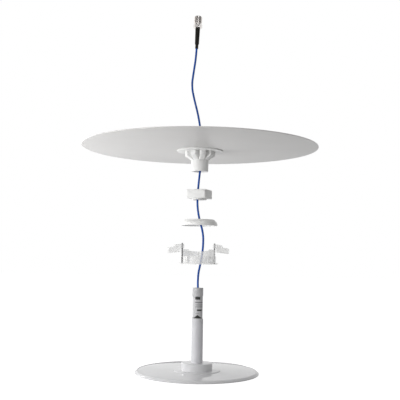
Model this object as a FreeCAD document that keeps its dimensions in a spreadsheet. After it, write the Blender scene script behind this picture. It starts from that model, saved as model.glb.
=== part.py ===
import FreeCAD, Part
import math
import os

import Sketcher
from FreeCAD import Placement, Rotation, Vector

# Low profile ceiling antenna, drawn apart along its stem: the antenna stands on its radome, and the
# pieces of its mounting kit hang on the cable above it. Millimetres, +Z up along the stem, origin at
# the centre of the radome's underside.

# Driving sizes
SIZES = {
    "radome_diameter": 238.0,
    "radome_height": 5.0,
    "radome_edge": 2.0,
    "radome_bevel": 4.5,
    "radome_land": 0.7,
    "radome_floor": 1.5,
    "radome_ledge": 2.0,
    "radome_foot_round": 0.8,
    "back_thickness": 1.6,
    "back_recess": 0.4,
    "cover_clearance": 0.15,
    "feed_hole": 6.0,
    "radiator_diameter": 200.0,
    "radiator_thickness": 0.8,
    "pin_diameter": 0.9,
    "solder_clearance": 0.05,
    "collar_diameter": 60.0,
    "collar_rise": 13.8,
    "collar_wall": 2.5,
    "collar_round": 1.2,
    "collar_foot_diameter": 90.0,
    "collar_foot_thickness": 1.0,
    "tube_diameter": 19.4,
    "tube_wall": 2.6,
    "tube_rise": 43.0,
    "tube_clearance": 0.1,
    "thread_diameter": 22.8,
    "thread_length": 83.6,
    "thread_chamfer": 0.8,
    "pin_hole": 3.0,
    "pin_hole_drop": 8.0,
    "pin_hole_turn": 55.0,
    "label_thickness": 0.12,
    "label_gap": 0.02,
    "label_margin": 1.0,
    "cap_diameter": 21.3,
    "cap_height": 16.0,
    "cap_skirt": 8.0,
    "cap_round": 0.8,
    "grommet_diameter": 8.0,
    "grommet_length": 10.0,
    "grommet_clearance": 0.05,
    "cable_diameter": 4.1,
    "cable_clearance": 0.05,
    "coax_start": 1.0,
    "ferrule_diameter": 7.0,
    "ferrule_length": 11.4,
    "ferrule_flange": 2.0,
    "tail_diameter": 6.2,
    "tail_length": 8.4,
    "tail_grip": 17.0,
    "boot_length": 33.2,
    "boot_lower_diameter": 8.8,
    "boot_upper_diameter": 9.8,
    "boot_round": 0.6,
    "crimp_diameter": 7.2,
    "crimp_start": 3.4,
    "crimp_clearance": 0.05,
    "jack_thread_diameter": 15.88,
    "jack_thread_length": 12.2,
    "jack_hex_flats": 15.2,
    "jack_hex_length": 7.4,
    "jack_hex_chamfer": 1.2,
    "jack_neck_diameter": 13.8,
    "jack_neck_length": 2.0,
    "jack_lip_diameter": 14.4,
    "jack_lip_length": 2.0,
    "jack_bore": 8.6,
    "jack_back_wall": 4.0,
    "bead_length": 8.0,
    "contact_diameter": 3.2,
    "contact_length": 16.0,
    "contact_wire": 0.92,
    "collar_clearance": 0.4,
    "seat_gap": 0.2,
    "ring_lift": 201.6,
    "ring_turn": 18.0,
    "ring_flange_width": 3.9,
    "ring_flange_thickness": 2.5,
    "ring_wall": 2.4,
    "ring_low_wall": 15.5,
    "ring_mid_wall": 24.0,
    "ring_ramp": 2.0,
    "ring_tower": 28.5,
    "ring_step": 12.0,
    "ring_tower_start": 10.0,
    "ring_tower_end": 26.3,
    "ring_relief_start": 24.8,
    "ring_relief": 3.0,
    "screw_diameter": 3.0,
    "screw_length": 40.6,
    "screw_head_diameter": 4.8,
    "screw_head_margin": 0.2,
    "screw_head_height": 0.9,
    "screw_tip": 0.6,
    "screw_recess": 0.6,
    "screw_recess_width": 0.8,
    "screw_recess_span": 2.8,
    "screw_clearance": 0.05,
    "screw_slot": 4.0,
    "screw_cover": 0.1,
    "toggle_reach": 29.0,
    "toggle_width": 9.0,
    "toggle_boss_diameter": 7.6,
    "toggle_gap": 5.1,
    "toggle_height": 18.4,
    "toggle_arm_height": 8.6,
    "toggle_inset": 4.2,
    "toggle_heel_rise": 2.4,
    "toggle_foot_height": 10.9,
    "toggle_neck_length": 14.0,
    "toggle_neck_drop": 1.5,
    "toggle_step_length": 3.0,
    "toggle_step_rise": 1.5,
    "toggle_nose": 1.5,
    "bezel_lift": 33.8,
    "bezel_diameter": 72.5,
    "bezel_height": 12.0,
    "bezel_wall": 2.0,
    "bezel_skirt": 6.0,
    "bezel_taper": 1.0,
    "bezel_shoulder": 5.6,
    "bezel_round": 2.0,
    "stem_clearance": 0.3,
    "nut_lift": 38.2,
    "nut_width": 40.0,
    "nut_height": 17.0,
    "nut_corner": 3.0,
    "nut_chamfer": 1.2,
    "nut_boss_diameter": 28.4,
    "nut_boss_height": 2.6,
    "nut_turn": -20.0,
    "reflector_lift": 35.8,
    "reflector_diameter": 460.0,
    "reflector_seat_diameter": 94.0,
    "reflector_rise": 4.4,
    "reflector_thickness": 1.5,
    "reflector_edge": 0.4,
    "hub_height": 41.3,
    "hub_tube_diameter": 33.5,
    "hub_chamfer": 1.6,
    "hub_flange_diameter": 90.0,
    "hub_flange_thickness": 2.0,
    "hub_spigot_wall": 2.4,
    "hub_spigot_clearance": 0.15,
    "hub_turn": -77.0,
    "rib_count": 9,
    "rib_thickness": 10.4,
    "rib_reach": 12.8,
    "rib_outer_height": 8.3,
    "rib_height": 17.3,
    "hub_screw_count": 3,
    "hub_screw_diameter": 3.0,
    "hub_screw_length": 10.0,
    "hub_screw_circle": 47.0,
    "hub_screw_head_diameter": 5.6,
    "hub_screw_head_height": 1.8,
    "hub_screw_clearance": 0.05,
    "plate_hole_clearance": 0.2,
}

# Points of the cable, chosen by eye: right, away from the viewer, and above the top of the cap
CABLE_ROUTE = [
    (0.0, 0.0, 0.0),
    (-1.0, 0.4, 22.0),
    (4.8, 0.9, 49.0),
    (8.9, 0.2, 77.0),
    (9.0, -0.6, 105.0),
    (0.4, 0.3, 133.0),
    (-4.1, 1.4, 161.0),
    (-2.8, 0.8, 193.0),
    (1.0, -0.9, 231.0),
    (2.5, -1.6, 271.0),
    (0.2, -0.4, 311.0),
    (-5.2, 2.0, 341.0),
    (-12.7, 3.6, 369.0),
    (-18.8, 2.4, 397.0),
    (-14.9, 0.5, 426.0),
    (-10.4, -0.6, 458.0),
    (-9.3, -1.0, 489.0),
]
# Share of the shorter run that an arc of the cable takes up on each side of a point
ARC_SHARE = 0.45
# Largest part of the cable's volume by which its tube may miss section times length
VOLUME_TOLERANCE = 0.001
# How near an edge has to be to the radius or height that it is looked for at
EDGE_TOLERANCE = 1e-4
# Room that a cut takes beyond the face that it runs out of
CUT_ROOM = 5.0
# Width of a hexagon over its flats, for a corner at distance one
HEXAGON_FLATS = math.sqrt(3)

doc = FreeCAD.newDocument("low_profile_antenna")
sheet = doc.addObject("Spreadsheet::Sheet", "Sizes")


class Size:
    """A length with its value and the expression that gives it in the document."""

    def __init__(self, value, text):
        self.value = value
        self.text = text

    def __add__(self, other):
        other = as_size(other)
        return Size(self.value + other.value, f"({self.text} + {other.text})")

    def __sub__(self, other):
        other = as_size(other)
        return Size(self.value - other.value, f"({self.text} - {other.text})")

    def __mul__(self, factor):
        return Size(self.value * factor, f"({self.text} * {factor})")

    def __truediv__(self, factor):
        return Size(self.value / factor, f"({self.text} / {factor})")

    def __neg__(self):
        return Size(-self.value, f"(0 - {self.text})")


def as_size(number):
    """A plain number as a Size."""
    if isinstance(number, Size):
        return number
    return Size(float(number), str(float(number)))


class Driving:
    """The driving sizes, one attribute for each cell of the sheet."""

    def __init__(self, values):
        for row, (name, value) in enumerate(values.items(), start=1):
            sheet.set(f"A{row}", name)
            sheet.set(f"B{row}", str(value))
            sheet.setAlias(f"B{row}", name)
        doc.recompute()
        for name in values:
            setattr(self, name, Size(float(sheet.get(name)), f"Sizes.{name}"))


d = Driving(SIZES)
ZERO = as_size(0)

# Heights and radii that several pieces share
cable_r = d.cable_diameter / 2
cable_bore_r = cable_r + d.cable_clearance
back_top = d.radome_height - d.back_recess
back_bottom = back_top - d.back_thickness
back_r = d.radome_diameter / 2 - d.radome_bevel - d.radome_land
foot_top = back_top + d.collar_foot_thickness
collar_r = d.collar_diameter / 2
collar_top = foot_top + d.collar_rise
tube_r = d.tube_diameter / 2
tube_bore_r = tube_r - d.tube_wall
sleeve_r = tube_r + d.tube_clearance
thread_r = d.thread_diameter / 2
thread_top = collar_top + d.thread_length
tube_top = thread_top + d.tube_rise
cap_top = tube_top + d.cap_height
coax_bottom = back_top + d.coax_start
stem_bore_r = thread_r + d.stem_clearance

ring_z = foot_top + d.seat_gap + d.ring_lift
ring_inner_r = collar_r + d.collar_clearance
screw_r = d.screw_diameter / 2
screw_hole_r = screw_r + d.screw_clearance
screw_circle_r = ring_inner_r + d.screw_head_diameter / 2 + d.screw_head_margin
ring_wall_outer_r = screw_circle_r + screw_r + d.screw_cover
ring_wall_inner_r = ring_wall_outer_r - d.ring_wall
ring_flange_r = ring_wall_outer_r + d.ring_flange_width

bezel_z = ring_z + d.screw_length + d.seat_gap + d.bezel_lift
nut_z = bezel_z + d.bezel_height + d.seat_gap + d.nut_lift
hub_z = nut_z + d.nut_boss_height + d.nut_height + d.seat_gap + d.reflector_lift
hub_tube_r = d.hub_tube_diameter / 2
plate_z = hub_z + d.hub_height
spigot_r = stem_bore_r + d.hub_spigot_wall

boot_bottom = d.tail_length
boot_top = boot_bottom + d.boot_length
crimp_bottom = boot_bottom + d.crimp_start
crimp_r = d.crimp_diameter / 2
hex_top = boot_top + d.jack_hex_length
neck_top = hex_top + d.jack_neck_length
jack_thread_top = neck_top + d.jack_thread_length
jack_top = jack_thread_top + d.jack_lip_length
jack_floor = boot_top + d.jack_back_wall
bead_top = jack_floor + d.bead_length

subparts = []


def bind(item, name, size):
    """Ties a property of a document object to a size."""
    setattr(item, name, size.value)
    item.setExpression(name, size.text)


def kept(item, label):
    """Puts an object on the list of sub-parts under its own label."""
    item.Label = label
    subparts.append(item)
    return item


def new_body(name):
    """An empty body."""
    return doc.addObject("PartDesign::Body", name)


def origin_feature(body, role):
    """A plane or axis of a body's own origin."""
    return next(item for item in body.Origin.OriginFeatures if item.Role == role)


def sketch_on(body, plane, lift=None):
    """A sketch on one of a body's origin planes, or at a height above it."""
    sketch = body.newObject("Sketcher::SketchObject", f"{body.Name}_sketch")
    sketch.AttachmentSupport = (origin_feature(body, plane), [""])
    sketch.MapMode = "FlatFace"
    if lift is not None:
        sketch.AttachmentOffset = Placement(Vector(0, 0, lift.value), Rotation())
        sketch.setExpression("AttachmentOffset.Base.z", lift.text)
    return sketch


def hold(sketch, line, point, x, y):
    """Holds a point of a sketch at its two distances from the origin."""
    for kind, axis, distance in (("DistanceX", -2, x), ("DistanceY", -1, y)):
        if distance is ZERO:
            sketch.addConstraint(Sketcher.Constraint("PointOnObject", line, point, axis))
            continue
        rule = Sketcher.Constraint(kind, -1, 1, line, point, distance.value)
        number = sketch.addConstraint(rule)
        sketch.setExpression(f"Constraints[{number}]", distance.text)


def outline(sketch, corners):
    """A closed outline of straight edges, held at every corner."""
    points = [Vector(x.value, y.value, 0) for x, y in corners]
    first = sketch.GeometryCount
    count = len(points)
    for number in range(count):
        edge = Part.LineSegment(points[number], points[(number + 1) % count])
        sketch.addGeometry(edge, False)
    for number in range(count):
        after = first + (number + 1) % count
        sketch.addConstraint(Sketcher.Constraint("Coincident", first + number, 2, after, 1))
    for number, (x, y) in enumerate(corners):
        hold(sketch, first + number, 1, x, y)


def ring_line(sketch, x, y, radius):
    """A circle in a sketch, held at its centre and radius."""
    circle = Part.Circle(Vector(x.value, y.value, 0), Vector(0, 0, 1), radius.value)
    line = sketch.addGeometry(circle, False)
    hold(sketch, line, 3, x, y)
    number = sketch.addConstraint(Sketcher.Constraint("Radius", line, radius.value))
    sketch.setExpression(f"Constraints[{number}]", radius.text)


def box_corners(low_x, low_y, high_x, high_y):
    """The corners of an upright rectangle."""
    return [(low_x, low_y), (high_x, low_y), (high_x, high_y), (low_x, high_y)]


def turn_profile(body, corners):
    """Turns an outline of radii and heights about the body's Z axis."""
    sketch = sketch_on(body, "XZ_Plane")
    outline(sketch, corners)
    turning = body.newObject("PartDesign::Revolution", f"{body.Name}_turning")
    turning.Profile = sketch
    turning.ReferenceAxis = (sketch, ["V_Axis"])
    turning.Angle = 360.0
    return turning


def turned(label, corners):
    """A sub-part that is turned from one outline."""
    body = new_body(label)
    turn_profile(body, corners)
    return kept(body, label)


def padded(body, sketch, length, midplane=False):
    """Pads a sketch along its normal, or to both sides of it."""
    pad = body.newObject("PartDesign::Pad", f"{body.Name}_pad")
    pad.Profile = sketch
    bind(pad, "Length", length)
    pad.Midplane = midplane
    return pad


def pocketed(body, sketch, length, back=False):
    """Cuts a sketch out of a body against its normal, or along it where back is set."""
    pocket = body.newObject("PartDesign::Pocket", f"{body.Name}_pocket")
    pocket.Profile = sketch
    bind(pocket, "Length", length)
    pocket.Reversed = back
    return pocket


def repeated(body, features, count):
    """Repeats features of a body evenly about its Z axis."""
    pattern = body.newObject("PartDesign::PolarPattern", f"{body.Name}_pattern")
    pattern.Originals = features
    pattern.Axis = (origin_feature(body, "Z_Axis"), [""])
    pattern.Angle = 360.0
    pattern.Occurrences = int(count.value)
    pattern.setExpression("Occurrences", count.text)
    body.Tip = pattern
    return pattern


def round_edges(shape, radius, height):
    """Names of a shape's round edges of one radius at one height."""
    names = []
    for number, edge in enumerate(shape.Edges, start=1):
        if not isinstance(edge.Curve, Part.Circle):
            continue
        off_radius = abs(edge.Curve.Radius - radius.value)
        off_height = max(abs(edge.BoundBox.ZMin - height.value), abs(edge.BoundBox.ZMax - height.value))
        if max(off_radius, off_height) < EDGE_TOLERANCE:
            names.append(f"Edge{number}")
    return names


def level_edges(shape, height):
    """Names of the outer edges of a shape that lie at one height, its stem bore left out."""
    names = []
    for number, edge in enumerate(shape.Edges, start=1):
        off_height = max(abs(edge.BoundBox.ZMin - height.value), abs(edge.BoundBox.ZMax - height.value))
        is_round = isinstance(edge.Curve, Part.Circle)
        is_bore = is_round and abs(edge.Curve.Radius - stem_bore_r.value) < EDGE_TOLERANCE
        if off_height < EDGE_TOLERANCE and not is_bore:
            names.append(f"Edge{number}")
    return names


def upright_edges(shape):
    """Names of a shape's straight edges that stand along Z."""
    names = []
    for number, edge in enumerate(shape.Edges, start=1):
        box = edge.BoundBox
        if max(box.XLength, box.YLength) < EDGE_TOLERANCE and isinstance(edge.Curve, Part.Line):
            names.append(f"Edge{number}")
    return names


def dressed(body, kind, names, prop, size):
    """Adds a fillet or chamfer over named edges of a body's last feature."""
    feature = body.newObject(f"PartDesign::{kind}", f"{body.Name}_{kind.lower()}")
    feature.Base = (feature.BaseFeature, names)
    bind(feature, prop, size)
    return feature


def rounded(body, radius, height, fillet):
    """Rounds the edges of a turned body at a radius and height."""
    doc.recompute()
    return dressed(body, "Fillet", round_edges(body.Tip.Shape, radius, height), "Radius", fillet)


def chamfered(body, names, size):
    """Chamfers named edges of a body."""
    return dressed(body, "Chamfer", names, "Size", size)


def placed(item, lift, turn=None, half_turns=0):
    """Lifts a sub-part to its height, turned about the stem."""
    if turn is not None:
        turn = turn + 180.0 * half_turns
        item.Placement = Placement(Vector(0, 0, 0), Rotation(Vector(0, 0, 1), turn.value))
        item.setExpression("Placement.Rotation.Angle", turn.text)
    item.setExpression("Placement.Base.z", lift.text)
    return item


def rod(label, radius, bottom, top):
    """A plain round rod on the stem's axis."""
    cylinder = doc.addObject("Part::Cylinder", label)
    bind(cylinder, "Radius", radius)
    bind(cylinder, "Height", top - bottom)
    cylinder.setExpression("Placement.Base.z", bottom.text)
    return kept(cylinder, label)


# Radome

def radome_face():
    """The moulded dish with its bevelled rim and the ledge for the back cover."""
    outer = d.radome_diameter / 2
    bevel_top = outer - d.radome_bevel
    ledge = back_r - d.radome_ledge
    body = turned("radome_face", [
        (ZERO, ZERO),
        (outer, ZERO),
        (outer, d.radome_edge),
        (bevel_top, d.radome_height),
        (back_r, d.radome_height),
        (back_r, back_bottom),
        (ledge, back_bottom),
        (ledge, d.radome_floor),
        (ZERO, d.radome_floor),
    ])
    rounded(body, outer, ZERO, d.radome_foot_round)


def radome_back():
    """The flat back cover, sunk in the rim."""
    edge = back_r - d.cover_clearance
    turned("radome_back", box_corners(d.feed_hole / 2, back_bottom, edge, back_top))


def radiator_plate():
    """The printed disc on the radome's floor, with the hole of the feed pin."""
    hole = d.pin_diameter / 2 + d.solder_clearance
    top = d.radome_floor + d.radiator_thickness
    turned("radiator_plate", box_corners(hole, d.radome_floor, d.radiator_diameter / 2, top))


# Stem

def stem_collar():
    """The collar: a hollow cup with a thin wide foot and a boss for the tube."""
    inner = collar_r - d.collar_wall
    boss = sleeve_r + d.collar_wall
    roof = collar_top - d.collar_wall
    foot_r = d.collar_foot_diameter / 2
    body = turned("stem_collar", [
        (inner, back_top),
        (foot_r, back_top),
        (foot_r, foot_top),
        (collar_r, foot_top),
        (collar_r, collar_top),
        (sleeve_r, collar_top),
        (sleeve_r, back_top),
        (boss, back_top),
        (boss, roof),
        (inner, roof),
    ])
    rounded(body, collar_r, collar_top, d.collar_round)


def threaded_stem():
    """The sleeve that carries the thread, with a cross hole for a pin near its top."""
    body = turned("threaded_stem", [
        (sleeve_r, collar_top),
        (thread_r, collar_top),
        (thread_r, thread_top - d.thread_chamfer),
        (thread_r - d.thread_chamfer, thread_top),
        (sleeve_r, thread_top),
    ])
    sketch = sketch_on(body, "XZ_Plane")
    ring_line(sketch, ZERO, thread_top - d.pin_hole_drop, d.pin_hole / 2)
    pocketed(body, sketch, d.thread_diameter, back=True)
    placed(body, ZERO, d.pin_hole_turn)


def stem_tube():
    """The inner tube, which stands on the back cover inside the collar and the sleeve."""
    turned("stem_tube", box_corners(tube_bore_r, back_top, tube_r, tube_top))


def label_wrap():
    """The paper label round the top of the tube."""
    inner = tube_r + d.label_gap
    low = thread_top + d.label_margin
    turned("label_wrap", box_corners(inner, low, inner + d.label_thickness, tube_top - d.label_margin))


def stem_cap():
    """The cap, with a skirt in the tube and a seat for the cable's bush."""
    skirt = tube_bore_r - d.tube_clearance
    skirt_bottom = tube_top - d.cap_skirt
    seat = d.grommet_diameter / 2
    seat_bottom = cap_top - d.grommet_length
    cap_r = d.cap_diameter / 2
    body = turned("stem_cap", [
        (cable_bore_r, skirt_bottom),
        (skirt, skirt_bottom),
        (skirt, tube_top),
        (cap_r, tube_top),
        (cap_r, cap_top),
        (seat, cap_top),
        (seat, seat_bottom),
        (cable_bore_r, seat_bottom),
    ])
    rounded(body, cap_r, cap_top, d.cap_round)


def cable_grommet():
    """The bush that holds the cable in the cap."""
    outer = d.grommet_diameter / 2 - d.grommet_clearance
    turned("cable_grommet", box_corners(cable_bore_r, cap_top - d.grommet_length, outer, cap_top))


def feed():
    """The coax inside the stem, its ferrule on the back cover and its inner conductor."""
    rod("feed_coax", cable_r, coax_bottom, cap_top)
    rod("feed_pin", d.pin_diameter / 2, d.radome_floor, coax_bottom)
    flange = tube_bore_r - d.tube_clearance
    flange_top = back_top + d.ferrule_flange
    sleeve = d.ferrule_diameter / 2
    top = back_top + d.ferrule_length
    turned("feed_ferrule", [
        (cable_bore_r, back_top),
        (flange, back_top),
        (flange, flange_top),
        (sleeve, flange_top),
        (sleeve, top),
        (cable_bore_r, top),
    ])


# Cable and its jack

def cable_points():
    """The route of the cable, from the top of the cap."""
    return [Vector(x, y, cap_top.value + rise) for x, y, rise in CABLE_ROUTE]


def cable_path(points):
    """Straight runs joined by the largest tangent arcs that they allow, with the arcs' radii."""
    edges = []
    radii = []
    start = points[0]
    for before, corner, after in zip(points, points[1:], points[2:]):
        back = before - corner
        ahead = after - corner
        room = ARC_SHARE * min(back.Length, ahead.Length)
        half_turn = (math.pi - back.getAngle(ahead)) / 2
        radius = room / math.tan(half_turn)
        back.normalize()
        ahead.normalize()
        inward = back + ahead
        inward.normalize()
        arc_start = corner + back * room
        arc_end = corner + ahead * room
        arc_middle = corner + inward * (radius / math.cos(half_turn) - radius)
        edges.append(Part.LineSegment(start, arc_start).toShape())
        edges.append(Part.Arc(arc_start, arc_middle, arc_end).toShape())
        radii.append(radius)
        start = arc_end
    edges.append(Part.LineSegment(start, points[-1]).toShape())
    return Part.Wire(edges), radii


def coax_cable():
    """The blue cable, from the cap into the boot of its jack."""
    points = cable_points()
    path, radii = cable_path(points)
    section = Part.Wire([Part.Circle(points[0], points[1] - points[0], cable_r.value).toShape()])
    tube = path.makePipeShell([section], True, False)
    expected = math.pi * cable_r.value**2 * path.Length
    if abs(tube.Volume - expected) / expected > VOLUME_TOLERANCE:
        raise ValueError(f"the cable holds {tube.Volume:.0f} of {expected:.0f} cubic mm")
    print("cable length", round(path.Length, 1), "radii", [round(radius) for radius in radii])
    item = doc.addObject("Part::Feature", "coax_cable")
    item.Shape = tube
    item.Placement = Placement()
    kept(item, "coax_cable")


def on_cable(item):
    """Sets a piece of the jack on the end of the cable, along its last run."""
    points = cable_points()
    along = points[-1] - points[-2]
    along.normalize()
    start = points[-1] - along * d.tail_grip.value
    item.Placement = Placement(start, Rotation(Vector(0, 0, 1), along))


def heat_shrink():
    """The tail sleeve and the tapered boot over the crimp."""
    tail = turned("cable_tail_sleeve", box_corners(cable_bore_r, ZERO, d.tail_diameter / 2, d.tail_length))
    lower = d.boot_lower_diameter / 2
    upper = d.boot_upper_diameter / 2
    room = crimp_r + d.crimp_clearance
    boot = turned("cable_boot", [
        (cable_bore_r, boot_bottom),
        (lower, boot_bottom),
        (upper, boot_top),
        (room, boot_top),
        (room, crimp_bottom),
        (cable_bore_r, crimp_bottom),
    ])
    rounded(boot, lower, boot_bottom, d.boot_round)
    crimp = turned("crimp_ferrule", box_corners(cable_bore_r, crimp_bottom, crimp_r, boot_top))
    for item in (tail, boot, crimp):
        on_cable(item)


def hexagon(flats):
    """The corners of a hexagon, two of them on the X axis."""
    corner = flats / HEXAGON_FLATS
    half = flats / 2
    side = corner / 2
    return [
        (corner, ZERO),
        (side, half),
        (-side, half),
        (-corner, ZERO),
        (-side, -half),
        (side, -half),
    ]


def connector_body():
    """The jack's body: hexagon, neck, threaded barrel and lip, bored from its mouth."""
    bore = d.jack_bore / 2
    neck = d.jack_neck_diameter / 2
    barrel = d.jack_thread_diameter / 2
    lip = d.jack_lip_diameter / 2
    body = turned("connector_body", [
        (cable_bore_r, boot_top),
        (neck, boot_top),
        (neck, neck_top),
        (barrel, neck_top),
        (barrel, jack_thread_top),
        (lip, jack_thread_top),
        (lip, jack_top),
        (bore, jack_top),
        (bore, jack_floor),
        (cable_bore_r, jack_floor),
    ])
    sketch = sketch_on(body, "XY_Plane", boot_top)
    outline(sketch, hexagon(d.jack_hex_flats))
    ring_line(sketch, ZERO, ZERO, neck - d.jack_hex_chamfer)
    padded(body, sketch, d.jack_hex_length)
    corner = d.jack_hex_flats / HEXAGON_FLATS
    flat = d.jack_hex_flats / 2
    for height, slope in ((boot_top, d.jack_hex_chamfer), (hex_top, -d.jack_hex_chamfer)):
        cut = sketch_on(body, "XZ_Plane")
        outline(cut, [
            (flat, height),
            (corner + flat, height),
            (corner + flat, height + slope),
            (corner, height + slope),
        ])
        groove = body.newObject("PartDesign::Groove", "connector_body_groove")
        groove.Profile = cut
        groove.ReferenceAxis = (cut, ["V_Axis"])
        groove.Angle = 360.0
    on_cable(body)


def jack_inside():
    """The insulating bead and the centre contact."""
    wire = d.contact_wire / 2
    contact = d.contact_diameter / 2
    core = wire + d.solder_clearance
    bore = contact + d.solder_clearance
    bead = turned("connector_insulator", [
        (core, d.tail_grip),
        (cable_r, d.tail_grip),
        (cable_r, jack_floor),
        (d.jack_bore / 2 - d.crimp_clearance, jack_floor),
        (d.jack_bore / 2 - d.crimp_clearance, bead_top),
        (bore, bead_top),
        (bore, jack_floor),
        (core, jack_floor),
    ])
    pin = turned("connector_contact", [
        (ZERO, d.tail_grip),
        (wire, d.tail_grip),
        (wire, jack_floor),
        (contact, jack_floor),
        (contact, jack_floor + d.contact_length),
        (ZERO, jack_floor + d.contact_length),
    ])
    on_cable(bead)
    on_cable(pin)


# Clamp ring with its screws and toggles

def clamp_ring():
    """The flanged ring, its wall stepped for the toggles and slotted for the screws."""
    body = turned("clamp_ring", [
        (ring_inner_r, ZERO),
        (ring_flange_r, ZERO),
        (ring_flange_r, d.ring_flange_thickness),
        (ring_wall_outer_r, d.ring_flange_thickness),
        (ring_wall_outer_r, d.ring_tower),
        (ring_wall_inner_r, d.ring_tower),
        (ring_wall_inner_r, d.ring_flange_thickness),
        (ring_inner_r, d.ring_flange_thickness),
    ])
    reach = ring_flange_r
    above = d.ring_tower + CUT_ROOM
    steps = sketch_on(body, "XZ_Plane")
    outline(steps, [
        (-reach, d.ring_low_wall),
        (-d.ring_step, d.ring_low_wall),
        (-d.ring_step, d.ring_mid_wall),
        (d.ring_tower_start, d.ring_mid_wall + d.ring_ramp),
        (d.ring_tower_start, d.ring_tower),
        (d.ring_tower_end, d.ring_tower),
        (d.ring_tower_end, d.ring_low_wall),
        (reach, d.ring_low_wall),
        (reach, above),
        (-reach, above),
    ])
    step_cut = pocketed(body, steps, reach, back=True)
    relief = sketch_on(body, "XY_Plane", d.ring_flange_thickness)
    relief_end = d.ring_relief_start + d.ring_relief
    outline(relief, box_corners(-relief_end, -reach, -d.ring_relief_start, -d.ring_step))
    relief_cut = pocketed(body, relief, d.ring_tower, back=True)
    slot = sketch_on(body, "XY_Plane", d.ring_flange_thickness)
    half_slot = d.screw_slot / 2
    outline(slot, box_corners(ring_inner_r, -half_slot, reach, half_slot))
    slot_cut = pocketed(body, slot, d.ring_tower, back=True)
    hole = sketch_on(body, "XZ_Plane")
    head = d.screw_head_diameter / 2 + d.screw_clearance
    outline(hole, [
        (screw_circle_r, ZERO),
        (screw_circle_r + head, ZERO),
        (screw_circle_r + screw_hole_r, d.screw_head_height),
        (screw_circle_r + screw_hole_r, d.ring_flange_thickness),
        (screw_circle_r, d.ring_flange_thickness),
    ])
    foot = Vector(screw_circle_r.value, 0, 0)
    line = hole.addGeometry(Part.LineSegment(foot, foot + Vector(0, above.value, 0)), True)
    hold(hole, line, 1, screw_circle_r, ZERO)
    hold(hole, line, 2, screw_circle_r, above)
    hole_cut = body.newObject("PartDesign::Groove", "clamp_ring_groove")
    hole_cut.Profile = hole
    hole_cut.ReferenceAxis = (hole, ["Axis0"])
    hole_cut.Angle = 360.0
    repeated(body, [step_cut, relief_cut, slot_cut, hole_cut], as_size(2))
    placed(body, ring_z, d.ring_turn)


def screw_blank(body, length, head_r, head_height, shank_r, tip):
    """Turns a countersunk screw, head down on the body's origin."""
    turn_profile(body, [
        (ZERO, ZERO),
        (head_r, ZERO),
        (shank_r, head_height),
        (shank_r, length - tip),
        (shank_r - tip, length),
        (ZERO, length),
    ])


def cross_recess(body):
    """Cuts a cross recess into the head at a body's origin."""
    arm = d.screw_recess_span / 2
    slot = d.screw_recess_width / 2
    sketch = sketch_on(body, "XY_Plane")
    outline(sketch, [
        (slot, slot),
        (slot, arm),
        (-slot, arm),
        (-slot, slot),
        (-arm, slot),
        (-arm, -slot),
        (-slot, -slot),
        (-slot, -arm),
        (slot, -arm),
        (slot, -slot),
        (arm, -slot),
        (arm, slot),
    ])
    pocketed(body, sketch, d.screw_recess, back=True)


def clamp_screw(label, half_turns):
    """One long screw, standing in its slot of the ring."""
    body = new_body(label)
    screw_blank(body, d.screw_length, d.screw_head_diameter / 2, d.screw_head_height, screw_r, d.screw_tip)
    cross_recess(body)
    kept(body, label)
    turn = d.ring_turn + 180.0 * half_turns
    angle = math.radians(turn.value)
    spot = Vector(math.cos(angle), math.sin(angle), 0) * screw_circle_r.value
    body.Placement = Placement(spot, Rotation())
    body.setExpression("Placement.Base.x", f"{screw_circle_r.text} * cos({turn.text} * 1deg)")
    body.setExpression("Placement.Base.y", f"{screw_circle_r.text} * sin({turn.text} * 1deg)")
    body.setExpression("Placement.Base.z", ring_z.text)


def toggle(label, half_turns):
    """One dog-leg wing: a boss on the screw, an arm over the wall and a paddle outside it."""
    body = new_body(label)
    bottom = d.ring_low_wall + d.toggle_gap
    top = bottom + d.toggle_height
    arm_bottom = top - d.toggle_arm_height
    paddle_top = bottom + d.toggle_foot_height
    heel = screw_circle_r + d.toggle_inset
    neck_end = screw_circle_r + d.toggle_neck_length
    step_end = neck_end + d.toggle_step_length
    tip = screw_circle_r + d.toggle_reach
    nose = tip - d.toggle_nose
    side = sketch_on(body, "XZ_Plane")
    outline(side, [
        (screw_circle_r, arm_bottom),
        (heel, arm_bottom),
        (heel, bottom + d.toggle_heel_rise),
        (nose, bottom),
        (tip, bottom + d.toggle_nose),
        (tip, paddle_top - d.toggle_nose),
        (nose, paddle_top),
        (step_end, paddle_top + d.toggle_step_rise),
        (neck_end, top - d.toggle_neck_drop),
        (screw_circle_r, top),
    ])
    padded(body, side, d.toggle_width, midplane=True)
    boss = sketch_on(body, "XY_Plane", arm_bottom)
    ring_line(boss, screw_circle_r, ZERO, d.toggle_boss_diameter / 2)
    padded(body, boss, d.toggle_arm_height)
    bore = sketch_on(body, "XY_Plane", arm_bottom)
    ring_line(bore, screw_circle_r, ZERO, screw_hole_r)
    pocketed(body, bore, d.toggle_arm_height, back=True)
    kept(body, label)
    placed(body, ring_z, d.ring_turn, half_turns)


# Loose pieces above the ring

def bezel_washer():
    """The dished washer: a tapered skirt, a rounded shoulder and a flat roof with the stem's hole."""
    outer = d.bezel_diameter / 2
    skirt_r = outer - d.bezel_taper
    roof_r = skirt_r - d.bezel_shoulder
    roof = d.bezel_height - d.bezel_wall
    body = turned("bezel_washer", [
        (outer - d.bezel_wall, ZERO),
        (outer, ZERO),
        (skirt_r, d.bezel_skirt),
        (roof_r, d.bezel_height),
        (stem_bore_r, d.bezel_height),
        (stem_bore_r, roof),
        (roof_r - d.bezel_wall / 2, roof),
        (skirt_r - d.bezel_wall, d.bezel_skirt - d.bezel_wall / 2),
    ])
    rounded(body, skirt_r, d.bezel_skirt, d.bezel_round)
    rounded(body, roof_r, d.bezel_height, d.bezel_round)
    placed(body, bezel_z)


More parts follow.
